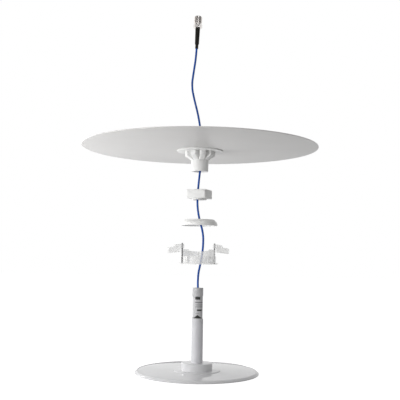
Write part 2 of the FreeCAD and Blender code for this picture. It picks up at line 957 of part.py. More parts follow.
def lock_nut():
    """The square nut, with rounded corners, a bevelled top and a round boss under it."""
    body = new_body("lock_nut")
    half = d.nut_width / 2
    top = d.nut_boss_height + d.nut_height
    sketch = sketch_on(body, "XY_Plane", d.nut_boss_height)
    outline(sketch, box_corners(-half, -half, half, half))
    ring_line(sketch, ZERO, ZERO, stem_bore_r)
    padded(body, sketch, d.nut_height)
    doc.recompute()
    dressed(body, "Fillet", upright_edges(body.Tip.Shape), "Radius", d.nut_corner)
    doc.recompute()
    chamfered(body, level_edges(body.Tip.Shape, top), d.nut_chamfer)
    boss = sketch_on(body, "XY_Plane")
    ring_line(boss, ZERO, ZERO, d.nut_boss_diameter / 2)
    ring_line(boss, ZERO, ZERO, stem_bore_r)
    padded(body, boss, d.nut_boss_height)
    kept(body, "lock_nut")
    placed(body, nut_z, d.nut_turn)


def reflector_hub():
    """The hub: a tube with a flange, ribs between them and a spigot in the plate."""
    flange_r = d.hub_flange_diameter / 2
    flange_bottom = d.hub_height - d.hub_flange_thickness
    spigot_top = d.hub_height + d.reflector_thickness
    body = turned("reflector_hub", [
        (stem_bore_r, ZERO),
        (hub_tube_r - d.hub_chamfer, ZERO),
        (hub_tube_r, d.hub_chamfer),
        (hub_tube_r, flange_bottom),
        (flange_r, flange_bottom),
        (flange_r, d.hub_height),
        (spigot_r, d.hub_height),
        (spigot_r, spigot_top),
        (stem_bore_r, spigot_top),
    ])
    inside = (stem_bore_r + hub_tube_r) / 2
    outside = hub_tube_r + d.rib_reach
    sketch = sketch_on(body, "XZ_Plane")
    outline(sketch, [
        (inside, flange_bottom - d.rib_height),
        (hub_tube_r, flange_bottom - d.rib_height),
        (outside, flange_bottom - d.rib_outer_height),
        (outside, d.hub_height - d.hub_flange_thickness / 2),
        (inside, d.hub_height - d.hub_flange_thickness / 2),
    ])
    rib = padded(body, sketch, d.rib_thickness, midplane=True)
    repeated(body, [rib], d.rib_count)
    hole = sketch_on(body, "XY_Plane", d.hub_height)
    ring_line(hole, d.hub_screw_circle / 2, ZERO, d.hub_screw_diameter / 2 + d.hub_screw_clearance)
    pilot = pocketed(body, hole, d.hub_screw_length)
    repeated(body, [pilot], d.hub_screw_count)
    placed(body, hub_z, d.hub_turn)


def reflector_plate():
    """The thin disc, a shallow cone round the hub's seat, with holes for the spigot and the screws."""
    outer = d.reflector_diameter / 2
    hole_r = spigot_r + d.hub_spigot_clearance
    seat_r = d.reflector_seat_diameter / 2
    rim_top = d.reflector_rise + d.reflector_thickness
    body = turned("reflector_plate", [
        (hole_r, ZERO),
        (seat_r, ZERO),
        (outer, d.reflector_rise),
        (outer, rim_top),
        (seat_r, d.reflector_thickness),
        (hole_r, d.reflector_thickness),
    ])
    rounded(body, outer, d.reflector_rise, d.reflector_edge)
    rounded(body, outer, rim_top, d.reflector_edge)
    sketch = sketch_on(body, "XY_Plane", d.reflector_thickness)
    ring_line(sketch, d.hub_screw_circle / 2, ZERO, d.hub_screw_diameter / 2 + d.plate_hole_clearance)
    hole = pocketed(body, sketch, d.reflector_thickness)
    repeated(body, [hole], d.hub_screw_count)
    placed(body, plate_z, d.hub_turn)


def hub_screws():
    """The screws that hold the plate on the hub, driven from above, as one group."""
    shank = d.hub_screw_diameter / 2
    head = d.hub_screw_head_diameter / 2
    tip = plate_z + d.reflector_thickness - d.hub_screw_length
    seat = plate_z + d.reflector_thickness
    screws = []
    for number in range(int(d.hub_screw_count.value)):
        body = new_body(f"hub_screw_{number + 1}")
        turn_profile(body, [
            (ZERO, tip),
            (shank - d.screw_tip, tip),
            (shank, tip + d.screw_tip),
            (shank, seat),
            (head, seat),
            (head - d.screw_tip, seat + d.hub_screw_head_height),
            (ZERO, seat + d.hub_screw_head_height),
        ])
        turn = d.hub_turn + 360.0 * number / d.hub_screw_count.value
        circle = d.hub_screw_circle / 2
        body.setExpression("Placement.Base.x", f"{circle.text} * cos({turn.text} * 1deg)")
        body.setExpression("Placement.Base.y", f"{circle.text} * sin({turn.text} * 1deg)")
        screws.append(body)
    group = doc.addObject("Part::Compound", "hub_screws")
    group.Links = screws
    kept(group, "hub_screws")


def check_document():
    """Stops where an object of the document failed or a sub-part has no valid solid."""
    for item in doc.Objects:
        if "Invalid" in item.State or "Error" in item.State:
            raise ValueError(f"{item.Label} failed: {item.State}")
    for item in subparts:
        if item.Shape.isNull() or not item.Shape.isValid() or not item.Shape.Solids:
            raise ValueError(f"{item.Label} has no valid solid")


def write_parts():
    """Writes each sub-part under its label."""
    os.makedirs("parts", exist_ok=True)
    for item in subparts:
        item.Shape.exportStep(os.path.join("parts", f"{item.Label}.step"))
        print(f"{item.Label:22s} {item.Shape.Volume:12.1f} cubic mm")


radome_face()
radome_back()
radiator_plate()
stem_collar()
threaded_stem()
stem_tube()
label_wrap()
stem_cap()
cable_grommet()
feed()
coax_cable()
heat_shrink()
connector_body()
jack_inside()
clamp_ring()
for side, half_turns in (("right", 0), ("left", 1)):
    clamp_screw(f"clamp_screw_{side}", half_turns)
    toggle(f"toggle_{side}", half_turns)
bezel_washer()
lock_nut()
reflector_hub()
reflector_plate()
hub_screws()
doc.recompute()
check_document()
write_parts()
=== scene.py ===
"""Looks of a low profile ceiling antenna whose mounting kit is drawn apart along its cable."""

import logging
import math
from contextlib import contextmanager
from dataclasses import dataclass
from enum import Enum
from typing import Callable, Iterator, NamedTuple, Sequence

import bmesh
import bpy
from mathutils import Matrix, Vector


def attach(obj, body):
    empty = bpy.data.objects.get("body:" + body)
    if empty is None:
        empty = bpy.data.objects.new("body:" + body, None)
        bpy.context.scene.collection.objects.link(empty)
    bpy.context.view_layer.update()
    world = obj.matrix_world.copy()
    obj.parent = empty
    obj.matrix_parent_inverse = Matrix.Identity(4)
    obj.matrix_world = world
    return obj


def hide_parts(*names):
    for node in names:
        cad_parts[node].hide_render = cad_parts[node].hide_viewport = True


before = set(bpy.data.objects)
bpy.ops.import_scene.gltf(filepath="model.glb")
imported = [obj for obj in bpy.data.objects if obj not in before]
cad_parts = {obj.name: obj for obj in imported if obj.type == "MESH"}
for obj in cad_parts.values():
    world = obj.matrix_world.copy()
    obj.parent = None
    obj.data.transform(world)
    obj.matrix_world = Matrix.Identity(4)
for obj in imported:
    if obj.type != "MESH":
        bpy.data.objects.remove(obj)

log = logging.getLogger("antenna")

# Millimetres to the metres of the scene
MM = 0.001
# Rings that make up a rounded corner of a turned piece
EASE_STEPS = 4
# Faces that meet at less than this angle are shaded as one surface
SMOOTH_ANGLE = math.radians(32.0)
# Points nearer to each other than this are one point, in metres
WELD = 1e-7
# The same for the turns of a thread, which winding leaves less exact
TURN_WELD = 1e-6
# A point nearer than this to the plane of a cut lies in that plane, in metres
CUT_WELD = 1e-8
# A point nearer to a height than this is at that height, in metres
LEVEL = 1e-6
# A face whose normal has more than this share along an axis faces that way
FACING = 0.9
# Shares of a thread's pitch: the bottom of its groove, each flank and its crest
THREAD_ROOT = 0.18
THREAD_FLANK = 0.16
THREAD_CREST = 0.50
# The range that most of a noise lies in
NOISE_LOW = 0.3
NOISE_HIGH = 0.7

Triple = tuple[float, float, float]
Colour = Triple
Element = bmesh.types.BMEdge | bmesh.types.BMFace


class Ends(Enum):
    """How a turned piece is closed."""

    SOLID = "solid"
    HOLLOW = "hollow"


class Cut(Enum):
    """What a second shape does to a piece."""

    AWAY = "DIFFERENCE"
    ADD = "UNION"


class Part(Enum):
    """Which elements of a mesh are picked."""

    EDGES = "EDGE"
    FACES = "FACE"


class Turn(NamedTuple):
    """A corner of a turned outline, in millimetres."""

    r: float
    z: float
    ease: float = 0.0


class Section(NamedTuple):
    """A cross-section of a drawn-out bar: place along X, lowest and highest Z and half its width."""

    x: float
    low: float
    high: float
    half: float


# Work at the bench


def clear_selection() -> None:
    """Leaves edit mode and deselects every object."""
    active = bpy.context.view_layer.objects.active
    if active is not None and active.mode != "OBJECT":
        bpy.ops.object.mode_set(mode="OBJECT")
    bpy.ops.object.select_all(action="DESELECT")


def pick_up(piece: bpy.types.Object) -> None:
    """Makes one piece the only selected and the active object.

    Args:
        piece: The object to pick up.
    """
    clear_selection()
    piece.select_set(True)
    bpy.context.view_layer.objects.active = piece


@contextmanager
def editing(piece: bpy.types.Object) -> Iterator[None]:
    """Opens a piece in edit mode for the operators inside the block.

    Args:
        piece: The mesh object to edit.
    """
    pick_up(piece)
    bpy.ops.object.mode_set(mode="EDIT")
    bpy.ops.mesh.select_mode(type="VERT")
    yield
    bpy.ops.object.mode_set(mode="OBJECT")


def settle(piece: bpy.types.Object) -> None:
    """Puts a piece's place into its mesh, so that its object sits at the origin."""
    pick_up(piece)
    bpy.ops.object.transform_apply(location=True, rotation=True, scale=True)


def christen(piece: bpy.types.Object, name: str) -> bpy.types.Object:
    """Names a piece and its mesh.

    Args:
        piece: The object to name.
        name: Its new name.

    Returns:
        The same object.
    """
    piece.name = name
    piece.data.name = name
    return piece


def choose(piece: bpy.types.Object, part: Part, test: Callable[[Element], bool]) -> None:
    """Selects the elements of a piece in edit mode that pass a test.

    Args:
        piece: The object in edit mode.
        part: Which elements are picked.
        test: Says for each element whether it is picked.
    """
    bpy.ops.mesh.select_mode(type=part.value)
    bpy.ops.mesh.select_all(action="DESELECT")
    mesh = bmesh.from_edit_mesh(piece.data)
    for element in mesh.faces if part is Part.FACES else mesh.edges:
        if test(element):
            element.select_set(True)
    mesh.select_flush_mode()
    bmesh.update_edit_mesh(piece.data)


def eased(corners: Sequence[Turn], closed: bool) -> list[tuple[float, float]]:
    """Rounds the corners of an outline that ask for it.

    Args:
        corners: The outline's corners in order.
        closed: Whether the last corner runs on to the first.

    Returns:
        Radii and heights of the rings to draw.
    """
    points: list[tuple[float, float]] = []
    count = len(corners)
    for number, corner in enumerate(corners):
        is_end = not closed and number in (0, count - 1)
        if corner.ease == 0 or is_end:
            points.append((corner.r, corner.z))
            continue
        here = Vector((corner.r, corner.z))
        before = corners[number - 1]
        after = corners[(number + 1) % count]
        back = (Vector((before.r, before.z)) - here).normalized()
        ahead = (Vector((after.r, after.z)) - here).normalized()
        half = back.angle(ahead) / 2
        centre = here + (back + ahead).normalized() * (corner.ease / math.sin(half))
        start = here + back * (corner.ease / math.tan(half)) - centre
        end = here + ahead * (corner.ease / math.tan(half)) - centre
        for step in range(EASE_STEPS + 1):
            spoke = start.lerp(end, step / EASE_STEPS).normalized() * corner.ease
            points.append(tuple(centre + spoke))
    return points


def turned(name: str, corners: Sequence[Turn], ends: Ends, sides: int = 96) -> bpy.types.Object:
    """Turns an outline about Z: a circle is drawn up and out from ring to ring.

    Args:
        name: Name of the piece.
        corners: Corners of the outline in millimetres.
        ends: Whether the ends are filled, or the last ring joins the first.
        sides: Corners of each ring.

    Returns:
        The new piece.
    """
    points = eased(corners, ends is Ends.HOLLOW)
    first_r, first_z = points[0]
    fill = "NGON" if ends is Ends.SOLID else "NOTHING"
    clear_selection()
    bpy.ops.mesh.primitive_circle_add(
        vertices=sides, radius=first_r * MM, fill_type=fill, location=(0.0, 0.0, first_z * MM)
    )
    piece = christen(bpy.context.object, name)
    settle(piece)
    with editing(piece):
        bpy.ops.mesh.select_all(action="SELECT")
        for (near_r, near_z), (far_r, far_z) in zip(points, points[1:]):
            rise = (0.0, 0.0, (far_z - near_z) * MM)
            spread = far_r / near_r
            bpy.ops.mesh.extrude_region_move(TRANSFORM_OT_translate={"value": rise})
            bpy.ops.transform.resize(value=(spread, spread, 1.0), center_override=(0.0, 0.0, far_z * MM))
        if ends is Ends.HOLLOW:
            choose(piece, Part.EDGES, lambda edge: edge.is_boundary)
            bpy.ops.mesh.bridge_edge_loops()
        mend()
    return piece


def mend() -> None:
    """Merges doubled points of the piece in edit mode and turns its faces outwards."""
    bpy.ops.mesh.select_all(action="SELECT")
    bpy.ops.mesh.remove_doubles(threshold=WELD)
    bpy.ops.mesh.normals_make_consistent(inside=False)


def threaded(
    name: str, crest: float, root: float, pitch: float, bottom: float, top: float, steps: int = 64
) -> bpy.types.Object:
    """Winds a solid rod with a screw thread, closed flat at both ends.

    Args:
        name: Name of the piece.
        crest: Outer radius of the thread.
        root: Radius at the bottom of its groove.
        pitch: Rise of one turn.
        bottom: Height of the lower end.
        top: Height of the upper end.
        steps: Points in one turn.

    Returns:
        The new piece.
    """
    clear_selection()
    bpy.ops.mesh.primitive_plane_add(size=MM, location=(0.0, 0.0, 0.0))
    piece = christen(bpy.context.object, name)
    depth = crest - root
    profile = [(0.0, THREAD_ROOT), (depth, THREAD_FLANK), (0.0, THREAD_CREST), (-depth, THREAD_FLANK)]
    with editing(piece):
        bpy.ops.mesh.select_all(action="SELECT")
        bpy.ops.mesh.merge(type="CENTER")
        bpy.ops.transform.translate(value=(root * MM, 0.0, (bottom - pitch) * MM))
        for out, share in profile:
            move = (out * MM, 0.0, share * pitch * MM)
            bpy.ops.mesh.extrude_vertices_move(TRANSFORM_OT_translate={"value": move})
    screw = piece.modifiers.new("winding", "SCREW")
    screw.axis = "Z"
    screw.angle = math.tau
    screw.screw_offset = pitch * MM
    screw.iterations = math.ceil((top - bottom) / pitch) + 3
    screw.steps = steps
    screw.render_steps = steps
    apply_all(piece)
    with editing(piece):
        bpy.ops.mesh.select_all(action="SELECT")
        bpy.ops.mesh.remove_doubles(threshold=TURN_WELD)
        for height, low_goes in ((bottom, True), (top, False)):
            bpy.ops.mesh.select_all(action="SELECT")
            bpy.ops.mesh.bisect(
                plane_co=(0.0, 0.0, height * MM),
                plane_no=(0.0, 0.0, 1.0),
                clear_inner=low_goes,
                clear_outer=not low_goes,
                threshold=CUT_WELD,
            )
            choose(piece, Part.EDGES, lambda edge, z=height: edge.is_boundary and level(edge, z))
            bpy.ops.mesh.edge_face_add()
        mend()
    return piece


def level(element: Element, height: float) -> bool:
    """Whether all points of an edge or face lie at one height in millimetres."""
    return all(abs(vert.co.z - height * MM) < LEVEL for vert in element.verts)


def drawn_out(name: str, sections: Sequence[Section]) -> bpy.types.Object:
    """Draws a bar out along X from one cross-section to the next.

    Args:
        name: Name of the piece.
        sections: The cross-sections in order.

    Returns:
        The new piece.
    """
    clear_selection()
    bpy.ops.mesh.primitive_plane_add(size=1.0, location=(0.0, 0.0, 0.0), rotation=(0.0, math.pi / 2, 0.0))
    piece = christen(bpy.context.object, name)
    first = sections[0]
    piece.scale = ((first.high - first.low) * MM, 2 * first.half * MM, 1.0)
    piece.location = (first.x * MM, 0.0, (first.high + first.low) / 2 * MM)
    settle(piece)
    with editing(piece):
        bpy.ops.mesh.select_all(action="SELECT")
        for near, far in zip(sections, sections[1:]):
            middle = (far.low + far.high) / 2
            rise = middle - (near.low + near.high) / 2
            move = ((far.x - near.x) * MM, 0.0, rise * MM)
            spread = (1.0, far.half / near.half, (far.high - far.low) / (near.high - near.low))
            bpy.ops.mesh.extrude_region_move(TRANSFORM_OT_translate={"value": move})
            bpy.ops.transform.resize(value=spread, center_override=(far.x * MM, 0.0, middle * MM))
        mend()
    return piece


def apply_all(piece: bpy.types.Object) -> None:
    """Applies every modifier of a piece.

    Args:
        piece: The piece to finish.
    """
    pick_up(piece)
    for modifier in list(piece.modifiers):
        bpy.ops.object.modifier_apply(modifier=modifier.name)


def soften(piece: bpy.types.Object, width: float, segments: int = 2, angle: float = 35.0) -> None:
    """Rounds the sharp edges of a piece.

    Args:
        piece: The piece to soften.
        width: Width of the rounding in millimetres.
        segments: Strips in the rounding.
        angle: Smallest angle in degrees that counts as sharp.
    """
    bevel = piece.modifiers.new("softened", "BEVEL")
    bevel.width = width * MM
    bevel.segments = segments
    bevel.limit_method = "ANGLE"
    bevel.angle_limit = math.radians(angle)
    bevel.use_clamp_overlap = True
    apply_all(piece)


def combine(piece: bpy.types.Object, tool: bpy.types.Object, cut: Cut) -> bpy.types.Object:
    """Cuts a second shape out of a piece, or adds it, and takes the second shape away.

    Args:
        piece: The piece that stays.
        tool: The shape that is used up.
        cut: What the shape does to the piece.

    Returns:
        The piece.
    """
    work = piece.modifiers.new("combined", "BOOLEAN")
    work.operation = cut.value
    work.object = tool
    work.solver = "EXACT"
    apply_all(piece)
    bpy.data.objects.remove(tool)
    return piece


def fused(name: str, pieces: Sequence[bpy.types.Object]) -> bpy.types.Object:
    """Fuses overlapping pieces into one solid, with no faces left inside.

    Args:
        name: Name of the result.
        pieces: The pieces, the first of which stays.

    Returns:
        The fused piece.
    """
    whole = pieces[0]
    for piece in pieces[1:]:
        combine(whole, piece, Cut.ADD)
    return christen(whole, name)


def joined(name: str, pieces: Sequence[bpy.types.Object]) -> bpy.types.Object:
    """Joins several pieces into one mesh.

    Args:
        name: Name of the result.
        pieces: The pieces, the first of which stays.

    Returns:
        The joined piece.
    """
    pick_up(pieces[0])
    for piece in pieces[1:]:
        piece.select_set(True)
    bpy.ops.object.join()
    return christen(bpy.context.object, name)


def copies_round(piece: bpy.types.Object, count: int) -> list[bpy.types.Object]:
    """Copies a piece evenly about Z, each copy with its own mesh, and takes the piece away.

    Args:
        piece: The piece to copy, which is used up.
        count: How many copies stand in the circle.

    Returns:
        The copies.
    """
    made = []
    for number in range(count):
        pick_up(piece)
        bpy.ops.object.duplicate(linked=False)
        copy = bpy.context.object
        copy.rotation_euler = (0.0, 0.0, math.tau * number / count)
        settle(copy)
        made.append(copy)
    bpy.data.objects.remove(piece)
    return made


def seat(piece: bpy.types.Object, lift: float, turn: float = 0.0) -> None:
    """Lifts a finished piece to its place along the stem.

    Args:
        piece: The piece, made on the floor.
        lift: Its height in millimetres.
        turn: Its turn about the stem in degrees.
    """
    piece.location = (0.0, 0.0, lift * MM)
    piece.rotation_euler = (0.0, 0.0, math.radians(turn))
    settle(piece)


def shade(piece: bpy.types.Object) -> bpy.types.Object:
    """Shades a piece smooth, except over its sharp edges.

    Args:
        piece: The piece to shade.

    Returns:
        The same piece.
    """
    pick_up(piece)
    bpy.ops.object.shade_smooth_by_angle(angle=SMOOTH_ANGLE)
    return piece


# Finishes


class Recipe:
    """The node tree of one finish, with short calls that add and join nodes."""

    def __init__(self, name: str) -> None:
        """Starts a finish from a plain shader.

        Args:
            name: Name of the material.
        """
        self.material = bpy.data.materials.new(name)
        self.material.use_nodes = True
        self.tree = self.material.node_tree
        self.shader = self.tree.nodes["Principled BSDF"]
        self.place = self.add("ShaderNodeTexCoord").outputs["Object"]

    def add(self, kind: str, **settings: object) -> bpy.types.Node:
        """Adds a node and sets its own options.

        Args:
            kind: The node's type.
            settings: Options of the node.

        Returns:
            The new node.
        """
        node = self.tree.nodes.new(kind)
        for name, value in settings.items():
            setattr(node, name, value)
        return node

    def feed(self, socket: bpy.types.NodeSocket, value: object) -> None:
        """Links an output to a socket, or sets the socket to a plain value.

        Args:
            socket: The socket to feed.
            value: An output, or a plain value.
        """
        if isinstance(value, bpy.types.NodeSocket):
            self.tree.links.new(value, socket)
        else:
            socket.default_value = value

    def set(self, name: str, value: object) -> None:
        """Feeds a socket of the shader.

        Args:
            name: Name of the socket.
            value: An output, a number, or a colour as red, green and blue.
        """
        if isinstance(value, tuple):
            value = (*value, 1.0)
        self.feed(self.shader.inputs[name], value)

    def noise(
        self, size_mm: float, detail: float = 3.0, stretch: Triple = (1.0, 1.0, 1.0)
    ) -> bpy.types.NodeSocket:
        """Cloudy noise with features of a size.

        Args:
            size_mm: Size of its features in millimetres.
            detail: How many finer layers it has.
            stretch: Scale of the pattern along each axis.

        Returns:
            The noise from 0 to 1.
        """
        mapping = self.add("ShaderNodeMapping")
        mapping.inputs["Scale"].default_value = stretch
        self.feed(mapping.inputs["Vector"], self.place)
        node = self.add("ShaderNodeTexNoise")
        self.feed(node.inputs["Vector"], mapping.outputs["Vector"])
        node.inputs["Scale"].default_value = 1.0 / (size_mm * MM)
        node.inputs["Detail"].default_value = detail
        return node.outputs["Fac"]

    def span(self, value: bpy.types.NodeSocket, low: float, high: float) -> bpy.types.NodeSocket:
        """Spreads a noise over a range.

        Args:
            value: The noise.
            low: Lower end of the range.
            high: Upper end of the range.

        Returns:
            The spread value.
        """
        node = self.add("ShaderNodeMapRange")
        self.feed(node.inputs["Value"], value)
        node.inputs["From Min"].default_value = NOISE_LOW
        node.inputs["From Max"].default_value = NOISE_HIGH
        node.inputs["To Min"].default_value = low
        node.inputs["To Max"].default_value = high
        return node.outputs["Result"]

    def tint(
        self, share: bpy.types.NodeSocket, low: Colour | bpy.types.NodeSocket, high: Colour
    ) -> bpy.types.NodeSocket:
        """Mixes two colours by a share.

        Args:
            share: 0 for the first, 1 for the second.
            low: The first colour.
            high: The second colour.

        Returns:
            The mixed colour.
        """
        node = self.add("ShaderNodeMix", data_type="RGBA")
        self.feed(node.inputs["Factor"], share)
        for socket, colour in zip([i for i in node.inputs if i.type == "RGBA"], (low, high)):
            self.feed(socket, colour if isinstance(colour, bpy.types.NodeSocket) else (*colour, 1.0))
        return next(output for output in node.outputs if output.type == "RGBA")

    def sum(self, how: str, *values: object) -> bpy.types.NodeSocket:
        """Works out one number from others.

        Args:
            how: The operation of the Math node.
            values: Numbers or outputs.

        Returns:
            The result.
        """
        node = self.add("ShaderNodeMath", operation=how)
        for socket, value in zip(node.inputs, values):
            self.feed(socket, value)
        return node.outputs["Value"]

    def axes(self) -> tuple[bpy.types.NodeSocket, ...]:
        """Splits the place on the surface.

        Returns:
            Its three coordinates in metres.
        """
        node = self.add("ShaderNodeSeparateXYZ")
        self.feed(node.inputs["Vector"], self.place)
        return tuple(node.outputs)

    def relief(self, height: bpy.types.NodeSocket, depth_mm: float) -> None:
        """Gives the surface a fine relief.

        Args:
            height: The relief from 0 to 1.
            depth_mm: Its depth in millimetres.
        """
        bump = self.add("ShaderNodeBump")
        bump.inputs["Strength"].default_value = 1.0
        bump.inputs["Distance"].default_value = depth_mm * MM
        self.feed(bump.inputs["Height"], height)
        self.feed(self.shader.inputs["Normal"], bump.outputs["Normal"])


@dataclass(frozen=True)
class MouldedPlastic:
    """Injection-moulded plastic: a faint mottle and a fine spark-eroded grain."""

    name: str
    slot: str
    colour: Colour
    shadow: Colour
    roughness: float
    grain_mm: float = 0.35
    grain_depth: float = 0.01
    gloss: float = 0.5
    cover: float = 1.0
    mottle_mm: float = 28.0
    smear_mm: float = 9.0
    wiped: float = 0.9
    handled: float = 1.12

    def build(self) -> bpy.types.Material:
        """Mixes the material.

        Returns:
            The new material.
        """
        recipe = Recipe(self.name)
        mottle = recipe.span(recipe.noise(self.mottle_mm), 0.0, 1.0)
        recipe.set("Base Color", recipe.tint(mottle, self.colour, self.shadow))
        smear = recipe.noise(self.smear_mm, detail=4.0)
        roughness = recipe.span(smear, self.roughness * self.wiped, self.roughness * self.handled)
        recipe.set("Roughness", roughness)
        recipe.relief(recipe.noise(self.grain_mm, detail=2.0), self.grain_depth)
        recipe.set("Specular IOR Level", self.gloss)
        recipe.set("Alpha", self.cover)
        return recipe.material


@dataclass(frozen=True)
class CoatedSheet:
    """Satin-coated aluminium sheet: faint rolling lines and a soft orange peel."""

    name: str
    slot: str
    colour: Colour
    shadow: Colour
    roughness: float
    gloss: float
    cloud_mm: float = 70.0
    line_mm: float = 2.2
    line_stretch: Triple = (0.02, 1.0, 1.0)
    line_spread: float = 0.01
    peel_mm: float = 1.1
    peel_depth: float = 0.004

    def build(self) -> bpy.types.Material:
        """Mixes the material.

        Returns:
            The new material.
        """
        recipe = Recipe(self.name)
        lines = recipe.noise(self.line_mm, 2.0, self.line_stretch)
        cloud = recipe.span(recipe.noise(self.cloud_mm), 0.0, 1.0)
        recipe.set("Base Color", recipe.tint(cloud, self.colour, self.shadow))
        roughness = recipe.span(lines, self.roughness - self.line_spread, self.roughness + self.line_spread)
        recipe.set("Roughness", roughness)
        recipe.set("Specular IOR Level", self.gloss)
        recipe.relief(recipe.noise(self.peel_mm, detail=1.0), self.peel_depth)
        return recipe.material


@dataclass(frozen=True)
class PlainMetal:
    """Turned metal: fine tool rings along Z and a little tarnish."""

    name: str
    slot: str
    colour: Colour
    tarnish: Colour
    roughness: float
    stain_mm: float = 2.5
    wear_mm: float = 1.4
    polished: float = 0.05
    worn: float = 0.08
    ring_mm: float = 0.12
    ring_stretch: Triple = (0.05, 0.05, 1.0)
    ring_depth: float = 0.003

    def build(self) -> bpy.types.Material:
        """Mixes the material.

        Returns:
            The new material.
        """
        recipe = Recipe(self.name)
        recipe.set("Metallic", 1.0)
        stain = recipe.span(recipe.noise(self.stain_mm), 0.0, 1.0)
        recipe.set("Base Color", recipe.tint(stain, self.colour, self.tarnish))
        wear = recipe.noise(self.wear_mm)
        recipe.set("Roughness", recipe.span(wear, self.roughness - self.polished, self.roughness + self.worn))
        recipe.relief(recipe.noise(self.ring_mm, 1.0, self.ring_stretch), self.ring_depth)
        return recipe.material


@dataclass(frozen=True)
class CableJacket:
    """Extruded cable jacket: smooth, with long draw marks and a soft gloss."""

    name: str
    slot: str
    colour: Colour
    shadow: Colour
    cloud_mm: float = 12.0
    draw_mm: float = 0.9
    draw_stretch: Triple = (1.0, 1.0, 0.03)
    draw_depth: float = 0.012
    smooth: float = 0.34
    dull: float = 0.46
    gloss: float = 0.25

    def build(self) -> bpy.types.Material:
        """Mixes the material.

        Returns:
            The new material.
        """
        recipe = Recipe(self.name)
        draw = recipe.noise(self.draw_mm, 3.0, self.draw_stretch)
        cloud = recipe.span(recipe.noise(self.cloud_mm), 0.0, 1.0)
        recipe.set("Base Color", recipe.tint(cloud, self.colour, self.shadow))
        recipe.set("Roughness", recipe.span(draw, self.smooth, self.dull))
        recipe.set("Specular IOR Level", self.gloss)
        recipe.relief(draw, self.draw_depth)
        return recipe.material


@dataclass(frozen=True)
class ShrinkSleeve:
    """Black heat-shrink sleeve: soft rings where it has drawn in, with a dull sheen."""

    name: str
    slot: str
    colour: Colour
    shadow: Colour
    cloud_mm: float = 4.0
    ring_mm: float = 3.2
    ring_stretch: Triple = (0.35, 0.35, 1.0)
    ring_depth: float = 0.12
    smooth: float = 0.34
    dull: float = 0.48
    gloss: float = 0.14

    def build(self) -> bpy.types.Material:
        """Mixes the material.

        Returns:
            The new material.
        """
        recipe = Recipe(self.name)
        rings = recipe.noise(self.ring_mm, 2.0, self.ring_stretch)
        cloud = recipe.span(recipe.noise(self.cloud_mm), 0.0, 1.0)
        recipe.set("Base Color", recipe.tint(cloud, self.colour, self.shadow))
        recipe.set("Roughness", recipe.span(rings, self.smooth, self.dull))
        recipe.set("Specular IOR Level", self.gloss)
        recipe.relief(rings, self.ring_depth)
        return recipe.material


class Field(NamedTuple):
    """A field of print, or a band of painted shade: its left, low, right and high edges in millimetres."""

    left: float
    low: float
    right: float
    high: float


@dataclass(frozen=True)
class PrintedLabel:
    """Paper label with plain fields of print: a dark block, thin bars and a wedge; its foot carries a band of
    painted shadow.
    """

    name: str
    slot: str
    paper: Colour
    fibre: Colour
    ink_and_gap_shade: Colour
    pale_ink: Colour
    bars: tuple[Field, ...]
    dark_blocks_and_gap_shade: tuple[Field, ...]
    wedge_base: float
    wedge_height: float
    wedge_half: float
    fibre_mm: float = 0.5
    sheen_mm: float = 0.3
    smooth: float = 0.5
    dull: float = 0.62
    tooth_mm: float = 0.25
    tooth_depth: float = 0.006

    def build(self) -> bpy.types.Material:
        """Mixes the material.

        Returns:
            The new material.
        """
        recipe = Recipe(self.name)
        x, y, z = recipe.axes()
        front = recipe.sum("LESS_THAN", y, 0.0)
        fibre = recipe.span(recipe.noise(self.fibre_mm, detail=4.0), 0.0, 1.0)
        colour = recipe.tint(fibre, self.paper, self.fibre)
        # The last dark field is not print but a band of painted shadow at the label's foot
        for fields, ink_and_gap_shade in ((self.bars, self.pale_ink), (self.dark_blocks_and_gap_shade, self.ink_and_gap_shade)):
            for edges in fields:
                colour = recipe.tint(self.print_and_shade_field(recipe, x, z, front, edges), colour, ink_and_gap_shade)
        recipe.set("Base Color", recipe.tint(self.wedge(recipe, x, z, front), colour, self.ink_and_gap_shade))
        recipe.set("Roughness", recipe.span(recipe.noise(self.sheen_mm), self.smooth, self.dull))
        recipe.relief(recipe.noise(self.tooth_mm, detail=3.0), self.tooth_depth)
        return recipe.material

    def wedge(
        self, recipe: Recipe, x: bpy.types.NodeSocket, z: bpy.types.NodeSocket, front: bpy.types.NodeSocket
    ) -> bpy.types.NodeSocket:
        """The dark wedge at the foot of the label.

        Args:
            recipe: The finish.
            x: Place across the label.
            z: Place up the label.
            front: 1 on the front half.

        Returns:
            1 inside the wedge.
        """
        rise = recipe.sum("SUBTRACT", z, self.wedge_base * MM)
        fall = recipe.sum("MULTIPLY", recipe.sum("ABSOLUTE", x), self.wedge_height / self.wedge_half)
        roof = recipe.sum("SUBTRACT", self.wedge_height * MM, fall)
        return recipe.sum("MULTIPLY", recipe.sum("LESS_THAN", rise, roof), front)

    @staticmethod
    def print_and_shade_field(
        recipe: Recipe,
        x: bpy.types.NodeSocket,
        z: bpy.types.NodeSocket,
        front: bpy.types.NodeSocket,
        edges: Field,
    ) -> bpy.types.NodeSocket:
        """A field of print, or the band of painted shadow, on the front of the label.

        Args:
            recipe: The finish.
            x: Place across the label.
            z: Place up the label.
            front: 1 on the front half.
            edges: The field.

        Returns:
            1 inside the field.
        """
        left, low, right, high = (edge * MM for edge in edges)
        across = recipe.sum("COMPARE", x, (left + right) / 2, (right - left) / 2)
        up = recipe.sum("COMPARE", z, (low + high) / 2, (high - low) / 2)
        return recipe.sum("MULTIPLY", recipe.sum("MULTIPLY", across, up), front)


Finish = MouldedPlastic | CoatedSheet | PlainMetal | CableJacket | ShrinkSleeve | PrintedLabel

